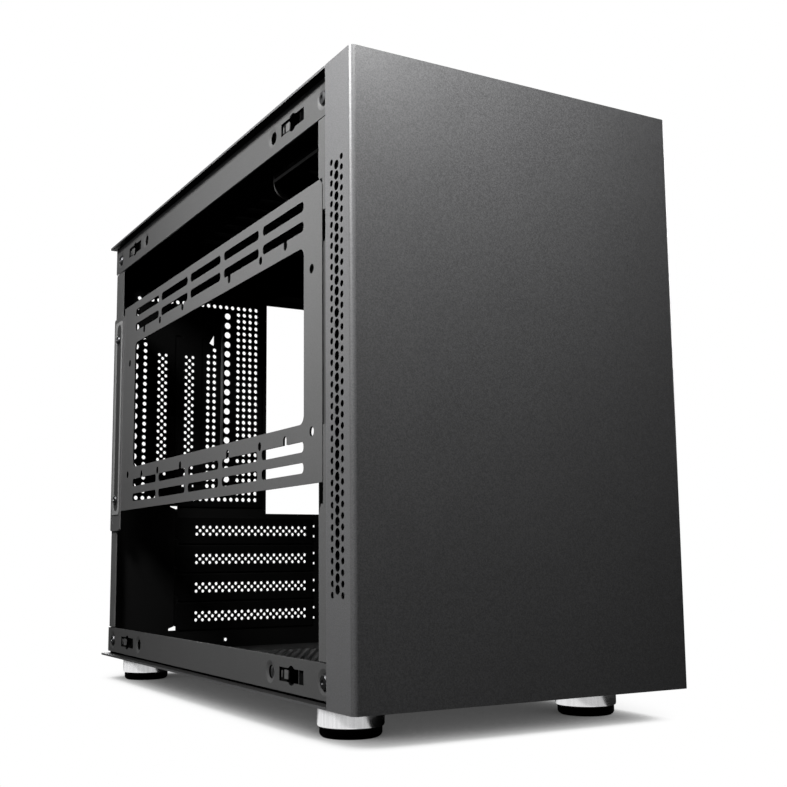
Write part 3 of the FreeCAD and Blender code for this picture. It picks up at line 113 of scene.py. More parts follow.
SPECKLE_SCALE = 1900.0
SPECKLE_DARK = 0.28
SPECKLE_LIGHT = 0.34
PEBBLE_SCALE = 1300.0
PEBBLE_STRENGTH = 0.35
PEBBLE_DISTANCE = 0.00006
PATCH_SCALE = 30.0
PATCH_DROP = 0.02
PATCH_RISE = 0.03
SHELL_ROUGHNESS = 0.55
SHELL_SPECULAR = 0.12
CLOUD_SCALE = 220.0
CLOUD_SPREAD = 0.2
MARK_SHADE = 0.86
THREAD_SCALE = 300.0
THREAD_GAP = 0.25


def grey(level):
    return (level, level, level)


def scaled(shade, share):
    return tuple(c * share for c in shade)


def new_material(name):
    material = bpy.data.materials.new(name)
    material.use_nodes = True
    nodes = material.node_tree.nodes
    return material, nodes, material.node_tree.links, nodes["Principled BSDF"]


def noise_node(nodes, links, scale, detail, stretch=(1.0, 1.0, 1.0)):
    """Noise in object space, in metres."""
    place = nodes.new("ShaderNodeTexCoord")
    mapping = nodes.new("ShaderNodeMapping")
    mapping.inputs["Scale"].default_value = stretch
    noise = nodes.new("ShaderNodeTexNoise")
    noise.inputs["Scale"].default_value = scale
    noise.inputs["Detail"].default_value = detail
    links.new(place.outputs["Object"], mapping.inputs["Vector"])
    links.new(mapping.outputs["Vector"], noise.inputs["Vector"])
    return noise


def ramp_node(nodes, links, source, stops):
    """Colour ramp over a noise: stops are (place, colour)."""
    ramp = nodes.new("ShaderNodeValToRGB")
    elements = ramp.color_ramp.elements
    while len(elements) < len(stops):
        elements.new(0.5)
    for element, (place, colour) in zip(elements, stops):
        element.position = place
        element.color = (*colour, 1.0)
    links.new(source, ramp.inputs["Fac"])
    return ramp


def bump_node(nodes, links, height, strength, distance, shader):
    """Bump from a height into the shader's normal."""
    bump = nodes.new("ShaderNodeBump")
    bump.inputs["Strength"].default_value = strength
    bump.inputs["Distance"].default_value = distance
    links.new(height, bump.inputs["Height"])
    links.new(bump.outputs["Normal"], shader.inputs["Normal"])


def powder_coat(name, shade, roughness, specular, grain=1.0):
    """Fine textured powder coat: speckled colour, a pebbled bump and faint patches of sheen."""
    material, nodes, links, shader = new_material(name)
    speckle = noise_node(nodes, links, SPECKLE_SCALE, 2.0)
    dark = scaled(shade, 1.0 - SPECKLE_DARK * grain)
    light = scaled(shade, 1.0 + SPECKLE_LIGHT * grain)
    ramp = ramp_node(nodes, links, speckle.outputs["Fac"], ((0.32, dark), (0.70, light)))
    links.new(ramp.outputs["Color"], shader.inputs["Base Color"])
    pebble = noise_node(nodes, links, PEBBLE_SCALE, 1.0)
    bump_node(nodes, links, pebble.outputs["Fac"], PEBBLE_STRENGTH * grain, PEBBLE_DISTANCE, shader)
    patch = noise_node(nodes, links, PATCH_SCALE, 1.0)
    stops = ((0.3, grey(roughness - PATCH_DROP)), (0.7, grey(roughness + PATCH_RISE)))
    rough = ramp_node(nodes, links, patch.outputs["Fac"], stops)
    links.new(rough.outputs["Color"], shader.inputs["Roughness"])
    shader.inputs["Specular IOR Level"].default_value = specular
    return material


def shaded_shell_coat(name, outside, inside, start, end):
    """Powder coat that turns from the outside colour to the inside colour, a near-black painted shade,
    between two levels of u.
    """
    material = powder_coat(name, outside, SHELL_ROUGHNESS, SHELL_SPECULAR, 0.5)
    nodes, links = material.node_tree.nodes, material.node_tree.links
    shader = nodes["Principled BSDF"]
    coated = shader.inputs["Base Color"].links[0].from_socket
    place = nodes.new("ShaderNodeTexCoord")
    split = nodes.new("ShaderNodeSeparateXYZ")
    step = nodes.new("ShaderNodeMapRange")
    step.inputs["From Min"].default_value = CORNER.x + start * MM
    step.inputs["From Max"].default_value = CORNER.x + end * MM
    mix = nodes.new("ShaderNodeMix")
    mix.data_type = "RGBA"
    mix.inputs["B"].default_value = (*inside, 1.0)
    links.new(place.outputs["Object"], split.inputs["Vector"])
    links.new(split.outputs["X"], step.inputs["Value"])
    links.new(step.outputs["Result"], mix.inputs["Factor"])
    links.new(coated, mix.inputs["A"])
    links.new(mix.outputs["Result"], shader.inputs["Base Color"])
    return material


def plastic(name, shade, roughness, specular=0.5):
    """Moulded plastic with a faint uneven sheen."""
    material, nodes, links, shader = new_material(name)
    cloud = noise_node(nodes, links, CLOUD_SCALE, 3.0)
    dark = scaled(shade, 1.0 - CLOUD_SPREAD)
    light = scaled(shade, 1.0 + CLOUD_SPREAD)
    ramp = ramp_node(nodes, links, cloud.outputs["Fac"], ((0.35, dark), (0.65, light)))
    links.new(ramp.outputs["Color"], shader.inputs["Base Color"])
    bump_node(nodes, links, cloud.outputs["Fac"], 0.08, 0.0001, shader)
    shader.inputs["Roughness"].default_value = roughness
    shader.inputs["Specular IOR Level"].default_value = specular
    return material


def metal(name, shade, roughness, scale, stretch, depth):
    """Bare or plated metal with tool marks that run across the stretched axis."""
    material, nodes, links, shader = new_material(name)
    marks = noise_node(nodes, links, scale, 3.0, stretch)
    ramp = ramp_node(nodes, links, marks.outputs["Fac"], ((0.3, scaled(shade, MARK_SHADE)), (0.7, shade)))
    links.new(ramp.outputs["Color"], shader.inputs["Base Color"])
    bump_node(nodes, links, marks.outputs["Fac"], depth, 0.00003, shader)
    shader.inputs["Metallic"].default_value = 1.0
    shader.inputs["Roughness"].default_value = roughness
    return material


def woven_mesh(name, shade):
    """Fine woven mesh: two sets of threads as waves along x and y."""
    material, nodes, links, shader = new_material(name)
    place = nodes.new("ShaderNodeTexCoord")
    product = nodes.new("ShaderNodeMath")
    product.operation = "MULTIPLY"
    for slot, direction in enumerate(("X", "Y")):
        wave = nodes.new("ShaderNodeTexWave")
        wave.bands_direction = direction
        wave.inputs["Scale"].default_value = THREAD_SCALE
        links.new(place.outputs["Object"], wave.inputs["Vector"])
        links.new(wave.outputs["Fac"], product.inputs[slot])
    stops = ((0.15, shade), (0.45, scaled(shade, THREAD_GAP)))
    ramp = ramp_node(nodes, links, product.outputs["Value"], stops)
    links.new(ramp.outputs["Color"], shader.inputs["Base Color"])
    bump_node(nodes, links, product.outputs["Value"], 0.6, 0.0002, shader)
    shader.inputs["Roughness"].default_value = 0.7
    return material


# Finishes

# Paint and plastic: shade, roughness, specular, and for paint the strength of its grain.
# Metal: shade, roughness, then scale, stretch and depth of its marks. Shell: outside, inside in painted
# shade, levels of u.
OUTER = (0.052, 0.052, 0.053)
FRAME = grey(0.060)
# SHADE_BLACK is painted shade: a near-black copy of the paint for faces inside the case, at its back and in
# its cut-outs, where little light falls.
SHADE_BLACK = grey(0.0012)
EVEN = (1.0, 1.0, 1.0)
UPRIGHT = (1.0, 1.0, 0.04)
FINISHES = {
    "outer_paint": (powder_coat, OUTER, 0.46, 0.5),
    "frame_paint": (powder_coat, FRAME, 0.50, 0.45, 0.5),
    # Painted shade: the rails take a darker copy of the frame paint.
    "rail_paint": (powder_coat, scaled(FRAME, 0.78), 0.50, 0.4, 0.5),
    # Near-black painted shade for faces that lie in shade.
    "inner_paint": (powder_coat, SHADE_BLACK, 0.7, 0.03, 0.5),
    "shade_paint": (powder_coat, grey(0.03), 0.55, 0.2, 0.5),
    # Painted shade: the frame and rear panel turn near black beyond the left rails' faces.
    "shell_paint": (shaded_shell_coat, grey(0.064), SHADE_BLACK, 5.8, 6.0),
    # Painted light: a lighter copy of the outer paint for the sides of the front panel's flanges.
    "flange_paint": (powder_coat, scaled(OUTER, 1.3), 0.46, 0.5),
    # Painted highlight: a light grey for the rims of the post's channel.
    "edge_paint": (powder_coat, grey(0.17), 0.5, 0.4, 0.5),
    # Painted shade for the upward side of the bottom sheet, a little lighter than SHADE_BLACK.
    "bay_paint": (powder_coat, grey(0.008), 0.6, 0.1),
    "roof_paint": (powder_coat, OUTER, 0.62, 0.2),
    "clip_plastic": (plastic, grey(0.003), 0.7, 0.05),
    "cheek_plastic": (plastic, grey(0.07), 0.5),
    "button_plastic": (plastic, (0.03, 0.03, 0.032), 0.35),
    "filter_mesh": (woven_mesh, (0.03, 0.03, 0.031)),
    "screw_steel": (metal, (0.09, 0.09, 0.093), 0.42, 900.0, EVEN, 0.1),
    "port_metal": (metal, (0.62, 0.62, 0.64), 0.3, 900.0, EVEN, 0.1),
    "standoff_brass": (metal, (0.72, 0.55, 0.25), 0.32, 900.0, EVEN, 0.1),
    "foot_metal": (metal, (0.86, 0.86, 0.87), 0.25, 700.0, UPRIGHT, 0.3),
    "foot_rubber": (plastic, grey(0.003), 0.7, 0.12),
}
MATERIALS = {name: recipe[0](name, *recipe[1:]) for name, recipe in FINISHES.items()}


# Mesh helpers

SHARP_ANGLE = math.radians(32.0)
WELD = 0.0005


def finish_piece(name, bm, material, nodes=(), body=CHASSIS):
    """Object from a bmesh in case millimetres, shaded, with its finish, riding on its body."""
    bmesh.ops.recalc_face_normals(bm, faces=bm.faces)
    for vert in bm.verts:
        vert.co = CORNER + vert.co * MM
    mesh = bpy.data.meshes.new(name)
    bm.to_mesh(mesh)
    bm.free()
    mesh.polygons.foreach_set("use_smooth", [True] * len(mesh.polygons))
    mesh.set_sharp_from_angle(angle=SHARP_ANGLE)
    mesh.materials.clear()
    mesh.materials.append(MATERIALS[material])
    piece = bpy.data.objects.new(name, mesh)
    bpy.context.scene.collection.objects.link(piece)
    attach(piece, body)
    if nodes:
        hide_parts(*nodes)
    return piece


def shade_faces(piece, chosen, material="inner_paint"):
    """Gives the chosen faces of a piece another paint, by default the near-black paint of painted shade."""
    piece.data.materials.append(MATERIALS[material])
    slot = len(piece.data.materials) - 1
    for face in piece.data.polygons:
        if chosen(face):
            face.material_index = slot


def add_flat(bm, thick, outline, holes, place):
    """Flat sheet with holes, whose outlines are lists of (a, b): place maps (a, b, depth) into the case."""
    curve = bpy.data.curves.new("outline", "CURVE")
    curve.dimensions = "2D"
    curve.fill_mode = "BOTH"
    curve.extrude = thick / 2
    for loop in [outline, *holes]:
        spline = curve.splines.new("POLY")
        spline.points.add(len(loop) - 1)
        for point, (a, b) in zip(spline.points, loop):
            point.co = (a, b, 0.0, 1.0)
        spline.use_cyclic_u = True
    carrier = bpy.data.objects.new("outline", curve)
    mesh = bpy.data.meshes.new_from_object(carrier)
    part = bmesh.new()
    part.from_mesh(mesh)
    bmesh.ops.remove_doubles(part, verts=part.verts, dist=WELD)
    for vert in part.verts:
        a, b, depth = vert.co
        vert.co = place(a, b, depth + thick / 2)
    part.to_mesh(mesh)
    part.free()
    bm.from_mesh(mesh)
    bpy.data.objects.remove(carrier)
    bpy.data.curves.remove(curve)
    bpy.data.meshes.remove(mesh)


def on_x(level):
    """Sheet across u that grows from level: a runs along v, b along w."""
    return lambda a, b, depth: Vector((level + depth, a, b))


def on_y(level):
    """Sheet across v that grows from level: a runs along u, b along w."""
    return lambda a, b, depth: Vector((a, level + depth, b))


def on_z(level):
    """Sheet across w that grows from level: a runs along u, b along v."""
    return lambda a, b, depth: Vector((a, b, level + depth))


def arc(a, b, radius, start, sweep, steps):
    """Points of an arc about (a, b), with start and sweep in degrees."""
    turns = [math.radians(start + sweep * i / steps) for i in range(steps + 1)]
    return [(a + radius * math.cos(turn), b + radius * math.sin(turn)) for turn in turns]


def circle(a, b, across, count=16):
    """Outline of a round hole."""
    return arc(a, b, across / 2, 0.0, 360.0, count)[:-1]


def rounded(low, high, radius, steps=5):
    """Outline of a rectangle with round corners."""
    a0, b0 = low
    a1, b1 = high
    r = radius
    corners = ((a1 - r, b0 + r, -90), (a1 - r, b1 - r, 0), (a0 + r, b1 - r, 90), (a0 + r, b0 + r, 180))
    return [point for a, b, start in corners for point in arc(a, b, r, start, 90, steps)]


def centred(a, b, size, radius, steps=5):
    """Outline of a rectangle with round corners about (a, b)."""
    half_a, half_b = size[0] / 2, size[1] / 2
    return rounded((a - half_a, b - half_b), (a + half_a, b + half_b), radius, steps)


def add_block(bm, low, high):
    """Block between two corners in the case."""
    made = bmesh.ops.create_cube(bm, size=1.0)["verts"]
    for vert in made:
        share = vert.co + Vector((0.5, 0.5, 0.5))
        vert.co = Vector([low[i] + (high[i] - low[i]) * share[i] for i in range(3)])


def add_turned(bm, start, axis, profile, count=48):
    """Turned solid: profile is a list of (radius, distance along the axis) from one end to the other."""
    axis = Vector(axis)
    side = Vector((0, 0, 1)) if abs(axis.z) < 0.5 else Vector((1, 0, 0))
    other = axis.cross(side)
    rings = []
    for radius, along in profile:
        middle = Vector(start) + axis * along
        if radius == 0.0:
            rings.append([bm.verts.new(middle)])
            continue
        ring = []
        for i in range(count):
            turn = 2 * math.pi * i / count
            ring.append(bm.verts.new(middle + (side * math.cos(turn) + other * math.sin(turn)) * radius))
        rings.append(ring)
    for near, far in zip(rings, rings[1:]):
        for i in range(count):
            j = (i + 1) % count
            corners = [near[i % len(near)], near[j % len(near)], far[j % len(far)], far[i % len(far)]]
            distinct = list(dict.fromkeys(corners))
            if len(distinct) > 2:
                bm.faces.new(distinct)


def add_ring(bm, start, axis, profile, count=40):
    """Turned ring: the closed profile goes round the axis without touching it."""
    ring = bmesh.new()
    add_turned(ring, start, axis, [*profile, profile[0]], count)
    bmesh.ops.remove_doubles(ring, verts=ring.verts, dist=WELD)
    mesh = bpy.data.meshes.new("ring")
    ring.to_mesh(mesh)
    ring.free()
    bm.from_mesh(mesh)
    bpy.data.meshes.remove(mesh)


# Front panel: one folded sheet with three columns of vents in each flange

SKIN = 1.2
PANEL_CORNER = 0.6
FOLD_RADIUS = 2.5
FOLD_STEPS = 8
FLANGE_RIM = 1.0
VENT_PITCH = 4.74
VENT_ROWS = 41
VENT_MIDDLE = 13.8
VENT_GAP = 4.8
VENT_SMALL = 2.9
VENT_LARGE = 4.15


def fold_length():
    """Length of the fold's arc along the middle of the sheet."""
    return (FOLD_RADIUS - SKIN / 2) * math.pi / 2


def folded_place(a, b, depth):
    """Maps the flat pattern to the folded front panel: depth 0 is its outer side."""
    middle = WIDTH / 2
    past = abs(a - middle) - (middle - FOLD_RADIUS)
    side = -1.0 if a < middle else 1.0
    if past <= 0:
        return Vector((a, depth, b))
    if past < fold_length():
        turn = past / fold_length() * math.pi / 2
        reach = FOLD_RADIUS - depth
        out = middle - FOLD_RADIUS + reach * math.sin(turn)
        return Vector((middle + side * out, FOLD_RADIUS - reach * math.cos(turn), b))
    return Vector((middle + side * (middle - depth), FOLD_RADIUS + past - fold_length(), b))


def front_vents():
    """Vent holes of both flanges in the flat pattern: the middle column is larger and half a row up."""
    holes = []
    lowest = HEIGHT / 2 - VENT_PITCH * (VENT_ROWS - 1) / 2
    columns = ((-1, VENT_SMALL, 16), (0, VENT_LARGE, 20), (1, VENT_SMALL, 16))
    for column, across, count in columns:
        rows = VENT_ROWS - (column == 0)
        low = lowest + (VENT_PITCH / 2 if column == 0 else 0.0)
        reach = VENT_MIDDLE + column * VENT_GAP - FOLD_RADIUS + fold_length()
        for a in (FOLD_RADIUS - reach, WIDTH - FOLD_RADIUS + reach):
            holes += [circle(a, low + row * VENT_PITCH, across, count) for row in range(rows)]
    return holes


def front_panel():
    """Folded and pierced sheet with its top and bottom returns."""
    flange = FLANGE_END - FOLD_RADIUS + fold_length()
    bm = bmesh.new()
    outline = rounded((FOLD_RADIUS - flange, 0.0), (WIDTH - FOLD_RADIUS + flange, HEIGHT), PANEL_CORNER, 3)
    add_flat(bm, SKIN, outline, front_vents(), on_z(0.0))
    for step in range(FOLD_STEPS + 1):
        reach = fold_length() * step / FOLD_STEPS
        for a in (FOLD_RADIUS - reach, WIDTH - FOLD_RADIUS + reach):
            everything = bm.verts[:] + bm.edges[:] + bm.faces[:]
            bmesh.ops.bisect_plane(bm, geom=everything, plane_co=(a, 0, 0), plane_no=(1, 0, 0))
    for vert in bm.verts:
        vert.co = folded_place(*vert.co)
    for low in (0.0, HEIGHT - SKIN):
        add_block(bm, (SKIN, SKIN, low), (WIDTH - SKIN, FLANGE_END, low + SKIN))
    piece = finish_piece("folded_front", bm, "outer_paint", nodes=["front_panel"], body="front")
    start, end = CORNER.y + FOLD_RADIUS * MM, CORNER.y + (FLANGE_END - FLANGE_RIM) * MM
    lowest, highest = CORNER.z + SKIN * MM, CORNER.z + (HEIGHT - SKIN) * MM

    # The walls of the flanges' vent holes get the near-black painted shade.
    def vent_wall_in_shade(face):
        middle = face.center
        return start < middle.y < end and lowest < middle.z < highest and abs(face.normal.x) < 0.5

    # The flanges' sides get the lighter copy of the outer paint, a painted highlight.
    def lit_flange_side(face):
        return face.center.y > start and abs(face.normal.x) > 0.9

    shade_faces(piece, vent_wall_in_shade)
    shade_faces(piece, lit_flange_side, "flange_paint")


# Rails with sockets, dished screw seats and dished holes

RAIL_FACE = 4.5
SHEET = 1.0
SHEET_CORNER = 0.5
RAIL_LINE = 10.4
RAIL_GAP = 1.3
RAIL_FOOT_INSET = 4.0
SCREW_INSET = 11.2
CLIP_INSET = 44.6
HOLE_INSET = 68.5
HOLE_ACROSS = 6.4
HEAD_ACROSS = 7.4
DISH_DEPTH = 0.8
DISH_REACH = 2.3
DISH_LIP = 0.4
DISH_ROLL = 0.5
DISH_DROP = 0.06
DISH_EASE = 0.1
SOCKET_LONG = 26.3
SOCKET_HIGH = 6.4
SOCKET_EYE = 9.0
DEPTH = 370.0
FLANGE_DEPTH = 25.0


def both_ends(inset):
    """Places at the same distance from the front and the back of the rails."""
    return (FLANGE_DEPTH + inset, DEPTH - inset)


def socket_outline(a, b):
    """Long slot with a round eye in its middle."""
    half, rise, eye = SOCKET_LONG / 2, SOCKET_HIGH / 2, SOCKET_EYE / 2
    sweep = 90.0 - math.degrees(math.asin(rise / eye))
    under = arc(a, b, eye, -90.0 - sweep, 2 * sweep, 8)
    over = arc(a, b, eye, 90.0 - sweep, 2 * sweep, 8)
    lower = [(a - half, b - rise), *under, (a + half, b - rise)]
    upper = [(a + half, b + rise), *over, (a - half, b + rise)]
    return lower + upper


def add_dish(bm, face, v, w, across, outward):
    """Dished ring in a sheet: outward is -1 on the left side and 1 on the right."""
    bore = across / 2
    lip = bore + DISH_LIP
    edge = bore + DISH_REACH
    roll = edge - DISH_ROLL
    outer_side = [(edge, 0.0), (roll, DISH_DROP), (lip, DISH_DEPTH - DISH_EASE), (bore, DISH_DEPTH)]
    deep = DISH_DEPTH + SHEET
    inner_side = [(bore, deep), (lip, deep), (roll, SHEET + DISH_DROP), (edge, SHEET)]
    add_ring(bm, (face, v, w), (-outward, 0, 0), outer_side + inner_side)


def rail(node, left, at_top):
    """One rail: wall with its cut-outs, foot, and dished seats."""
    low, high = case_box(node)
    line = HEIGHT - RAIL_LINE if at_top else RAIL_LINE
    face = RAIL_FACE if left else WIDTH - RAIL_FACE
    seats = [(v, HOLE_ACROSS) for v in both_ends(HOLE_INSET)]
    seats += [(v, HEAD_ACROSS) for v in both_ends(SCREW_INSET)]
    holes = [socket_outline(v, line) for v in both_ends(CLIP_INSET)]
    holes += [circle(v, line, across + 2 * DISH_REACH, 40) for v, across in seats]
    bm = bmesh.new()
    wall_low = low.z if at_top else low.z + RAIL_GAP
    wall = rounded((low.y, wall_low), (high.y, high.z), SHEET_CORNER, 2)
    add_flat(bm, SHEET, wall, holes, on_x(face if left else face - SHEET))
    for v, across in seats:
        add_dish(bm, face, v, line, across, -1 if left else 1)
    foot_low = high.z - SHEET if at_top else low.z
    near, far = (face + SHEET, high.x) if left else (low.x, face - SHEET)
    add_block(bm, (near, low.y, foot_low), (far, DEPTH - RAIL_FOOT_INSET, foot_low + SHEET))
    # The rail takes the darker copy of the frame paint, a painted shade.
    piece = finish_piece(node + "_formed", bm, "rail_paint", [node])
    level = CORNER.z + line * MM
    reach = (SOCKET_EYE / 2 + 0.5) * MM
    within = (WIDTH / 2 - RAIL_FACE - SHEET + 0.01) * MM

    # Its inward faces and the walls of the cut-outs on its line get the near-black painted shade.
    def inner_side(polygon):
        in_cut = abs(polygon.normal.x) < 0.4 and abs(polygon.center.z - level) < reach
        return abs(polygon.center.x) < within or in_cut

    shade_faces(piece, inner_side)


# Fan bracket: slots, window and slits cut from one sheet

BRACKET_LOW, BRACKET_HIGH = case_box("fan_bracket")
BRACKET_FRONT = 37.0
BRACKET_STEP = 346.0
BRACKET_DROP = 9.3
MIDDLE_V = 188.4
MIDDLE_W = (BRACKET_LOW.z + BRACKET_HIGH.z) / 2
FAN_INNER = 52.5
FAN_OUTER = 62.25
FAN_SLOT = (48.4, 5.0)
FAN_PITCH = 53.75
WINDOW = (264.0, 84.0)
WINDOW_CORNER = 4.5
SLOT_CORNER = 2.2
SLIT_WIDE = 3.8
SLIT_LONG = 4.4
SLIT_CORNER = 1.85
SLIT_SHIFTS = {0: -3.5, 1: 16.5, 3: -15.5, 4: 5.5}
SLITS_BETWEEN = (0, 3)
BRACKET_HOLES = ((48.0, -46.3), (48.0, 29.7), (332.0, -46.3), (332.0, 29.7))
BRACKET_BORE = 4.5
HOOK_REACH = 10.0
HOOK_HOLD = 9.0
LOW_HOOK = (3.0, 24.7)
HIGH_HOOK = (-14.3, -4.3)
BACKING_DEPTH = 0.6
BACKING_THICK = 0.5
BACKING_REACH = (-4.0, 1.0)
BACKING_SHORT = 30.0


def fan_slot(v, w, slit=None, side=0):
    """Outline of a fan slot, with a narrow slit let into its upper (side 1) or lower (side -1) edge."""
    points = centred(v, w, FAN_SLOT, SLOT_CORNER)
    if slit is None:
        return points
    edge = w + side * FAN_SLOT[1] / 2
    half = SLIT_WIDE / 2
    far = edge + side * (SLIT_LONG - half)
    notch = [(slit + half, edge), *arc(slit, far, half, 0.0, side * 180.0, 8), (slit - half, edge)]
    if side < 0:
        notch.reverse()
    on_edge = [i for i, point in enumerate(points) if abs(point[1] - edge) < 1e-6]
    cut = next(i for i in on_edge if (slit - points[i][0]) * side > 0)
    return points[:cut] + notch + points[cut:]


def fan_bracket():
    """Slotted sheet with its window, its step at the back and its folded hooks at the front."""
    middles = [MIDDLE_V + FAN_PITCH * (i - 2) for i in range(5)]
    holes = [centred(MIDDLE_V, MIDDLE_W, WINDOW, WINDOW_CORNER, 8)]
    for side in (1, -1):
        outer_w = MIDDLE_W - side * FAN_OUTER
        inner_w = MIDDLE_W - side * FAN_INNER
        holes += [fan_slot(v, outer_w) for v in middles]
        for i, v in enumerate(middles):
            slit = v + SLIT_SHIFTS[i] if i in SLIT_SHIFTS else None
            holes.append(fan_slot(v, inner_w, slit, side))
        slit_w = inner_w + side * (FAN_SLOT[1] + SLIT_LONG) / 2
        for i in SLITS_BETWEEN:
            slit_v = middles[i] + FAN_PITCH / 2
            holes.append(centred(slit_v, slit_w, (SLIT_WIDE, SLIT_LONG), SLIT_CORNER))
    holes += [circle(v, MIDDLE_W + rise, BRACKET_BORE, 24) for v, rise in BRACKET_HOLES]
    low, high = BRACKET_LOW, BRACKET_HIGH
    strip_high = high.z - BRACKET_DROP
    outline = [(BRACKET_FRONT, low.z), (high.y, low.z), (high.y, strip_high), (BRACKET_STEP, strip_high),
               (BRACKET_STEP, high.z), (BRACKET_FRONT, high.z)]
    bm = bmesh.new()
    add_flat(bm, SHEET, outline, holes, on_x(RAIL_FACE))
    inside = RAIL_FACE + SHEET
    for base, (start, end) in ((low.z, LOW_HOOK), (high.z, HIGH_HOOK)):
        near = (inside, BRACKET_FRONT - HOOK_REACH, base + start)
        add_block(bm, near, (inside + SHEET, BRACKET_FRONT + HOOK_HOLD, base + end))
    piece = finish_piece("slotted_bracket", bm, "frame_paint", nodes=["fan_bracket"])
    # Faces that do not face sideways, the walls of its cut-outs among them, get the near-black painted
    # shade.
    shade_faces(piece, lambda face: abs(face.normal.x) < 0.5)


def bracket_backing():
    """Shaded edge of the front frame that shows in the gap before the bracket."""
    bm = bmesh.new()
    level = RAIL_FACE + BACKING_DEPTH
    start, end = (BRACKET_FRONT + shift for shift in BACKING_REACH)
    top = BRACKET_HIGH.z - BACKING_SHORT
    add_block(bm, (level, start, BRACKET_LOW.z), (level + BACKING_THICK, end, top))
    finish_piece("bracket_backing", bm, "shade_paint")


# Card slot covers with staggered rows of holes

COVER_WIDE = 18.4
COVER_THICK = 0.86
COVER_LONG = 116.0
TAIL_START = 105.8
TAIL_WIDE = 6.0
TAB_SHIFT = 4.4
TAB_NOTCH = 1.6
SHELF_REACH = 11.5
DOT_START = 13.65
DOT_PITCH = 5.05
DOT_COUNT = 18
DOT_ACROSS = 2.3


def cover_dots():
    """Three rows of holes: the middle row has one less and is half a pitch along."""
    dots = []
    for row in (-1, 0, 1):
        count = DOT_COUNT - (row == 0)
        start = DOT_START + (DOT_PITCH / 2 if row == 0 else 0.0)
        dots += [circle(start + DOT_PITCH * i, row * DOT_PITCH / 2, DOT_ACROSS, 14) for i in range(count)]
    return dots


def cover_bm():
    """Cover along +u with its shelf corner at the origin, in local millimetres."""
    half = COVER_WIDE / 2
    left = -SHEET - COVER_THICK
    step = TAB_SHIFT - half
    tail = TAIL_WIDE / 2
    blade = [(0.0, -half), (TAIL_START, -half), (TAIL_START, -tail), (COVER_LONG, -tail), (COVER_LONG, tail),
             (TAIL_START, tail), (TAIL_START, half), (left, half), (left, step), (0.0, step)]
    bm = bmesh.new()
    add_flat(bm, COVER_THICK, blade, cover_dots(), on_y(-COVER_THICK))
    back = SHEET + SHELF_REACH
    middle = SHEET + SHELF_REACH / 2
    near, far = middle - TAB_NOTCH, middle + TAB_NOTCH
    top = TAB_SHIFT + half
    tab = [(0.0, step), (back, step), (back, top), (far, top), (far, TAB_SHIFT),
           (middle, TAB_SHIFT - TAB_NOTCH), (near, TAB_SHIFT), (near, top), (0.0, top)]
    add_flat(bm, COVER_THICK, tab, [], on_x(left))
    return bm


def slot_cover(node, origin, upright):
    """One cover with its shelf corner at the origin: an upright one hangs down from it."""
    bm = cover_bm()
    for vert in bm.verts:
        if upright:
            vert.co = Vector((vert.co.z, vert.co.y, -vert.co.x))
        vert.co += origin
    # Each cover takes the near-black painted shade.
    finish_piece(node + "_dotted", bm, "inner_paint", [node])


def slot_covers():
    """The row of level covers and the pair of upright ones."""
    for i in range(4):
        node = "slot_cover_%d" % (i + 1)
        low, high = case_box(node)
        origin = Vector((low.x + SHEET + COVER_THICK, low.y + COVER_THICK, low.z + COVER_WIDE / 2))
        slot_cover(node, origin, False)
    for i in range(2):
        node = "vertical_slot_cover_%d" % (i + 1)
        low, high = case_box(node)
        origin = Vector((low.x + COVER_WIDE / 2, low.y + COVER_THICK, high.z - SHEET - COVER_THICK))
        slot_cover(node, origin, True)


# Perforated plates of the back

# A column of the slot plate is its place and its number of holes. The heights of that plate's windows
# are measured down from its shelf, and its relief cuts outward and up from the shelf's ends.
FINE_PITCH = 4.79
FINE_ACROSS = 2.9
FINE_LOW = 107.5
FINE_ROWS = 31
FINE_COLUMNS = (96.9, 101.65, 106.4, 111.2)
BORDER_PITCH = 4.76
BORDER_COUNT = 16
COARSE_PITCH = 7.18
COARSE_ACROSS = 4.8
COARSE_LOW = 115.3
COARSE_ROWS = 19
COARSE_COLUMNS = (18.4, 88.3)
PLATE_MARGIN = 1.6
PLATE_CORNER = 1.5
VENT_WINDOW_CORNER = 1.0
COVER_WINDOW_CORNER = 0.8
TAIL_WINDOW_CORNER = 0.6
SLOT_PLATE_COLUMNS = ((25.4, 23), (73.04, 22), (77.8, 23))
COVER_WINDOW = (13.0, 96.0)
COVER_WINDOW_DOWN = 56.5
TAIL_WINDOW = (9.2, 1.6)
TAIL_WINDOW_DOWN = 107.6
SHELF_MARGIN = 1.8
RELIEF = ((0.0, -1.8), (3.6, 4.6), (3.6, -3.4), (2.0, -3.0))
LIP_REACH = 2.4
LIP_INSET = 2.0


def rear_vent_plate():
    """Plate with columns and two border rows of holes, and a window for the slot plate."""
    low, high = case_box("rear_vent_plate")
    slot_low, slot_high = case_box("upright_slot_plate")
    holes = []
    for a in FINE_COLUMNS:
        holes += [circle(a, FINE_LOW + FINE_PITCH * i, FINE_ACROSS) for i in range(FINE_ROWS)]
    fine_high = FINE_LOW + FINE_PITCH * (FINE_ROWS - 1)
    for i in range(1, BORDER_COUNT + 1):
        a = FINE_COLUMNS[0] - BORDER_PITCH * i
        holes += [circle(a, b, FINE_ACROSS) for b in (FINE_LOW, fine_high)]
    for a in COARSE_COLUMNS:
        holes += [circle(a, COARSE_LOW + COARSE_PITCH * i, COARSE_ACROSS, 20) for i in range(COARSE_ROWS)]
    margin = PLATE_MARGIN
    window_low = (slot_low.x + margin, slot_low.z + margin)
    window_high = (slot_high.x - margin, slot_high.z - margin)
    holes.append(rounded(window_low, window_high, VENT_WINDOW_CORNER, 3))
    outline = rounded((low.x, low.z), (high.x, high.z), PLATE_CORNER, 4)
    bm = bmesh.new()
    add_flat(bm, high.y - low.y, outline, holes, on_y(low.y))
    # The plate takes the near-black painted shade.
    finish_piece("vent_plate_dotted", bm, "inner_paint", ["rear_vent_plate"])


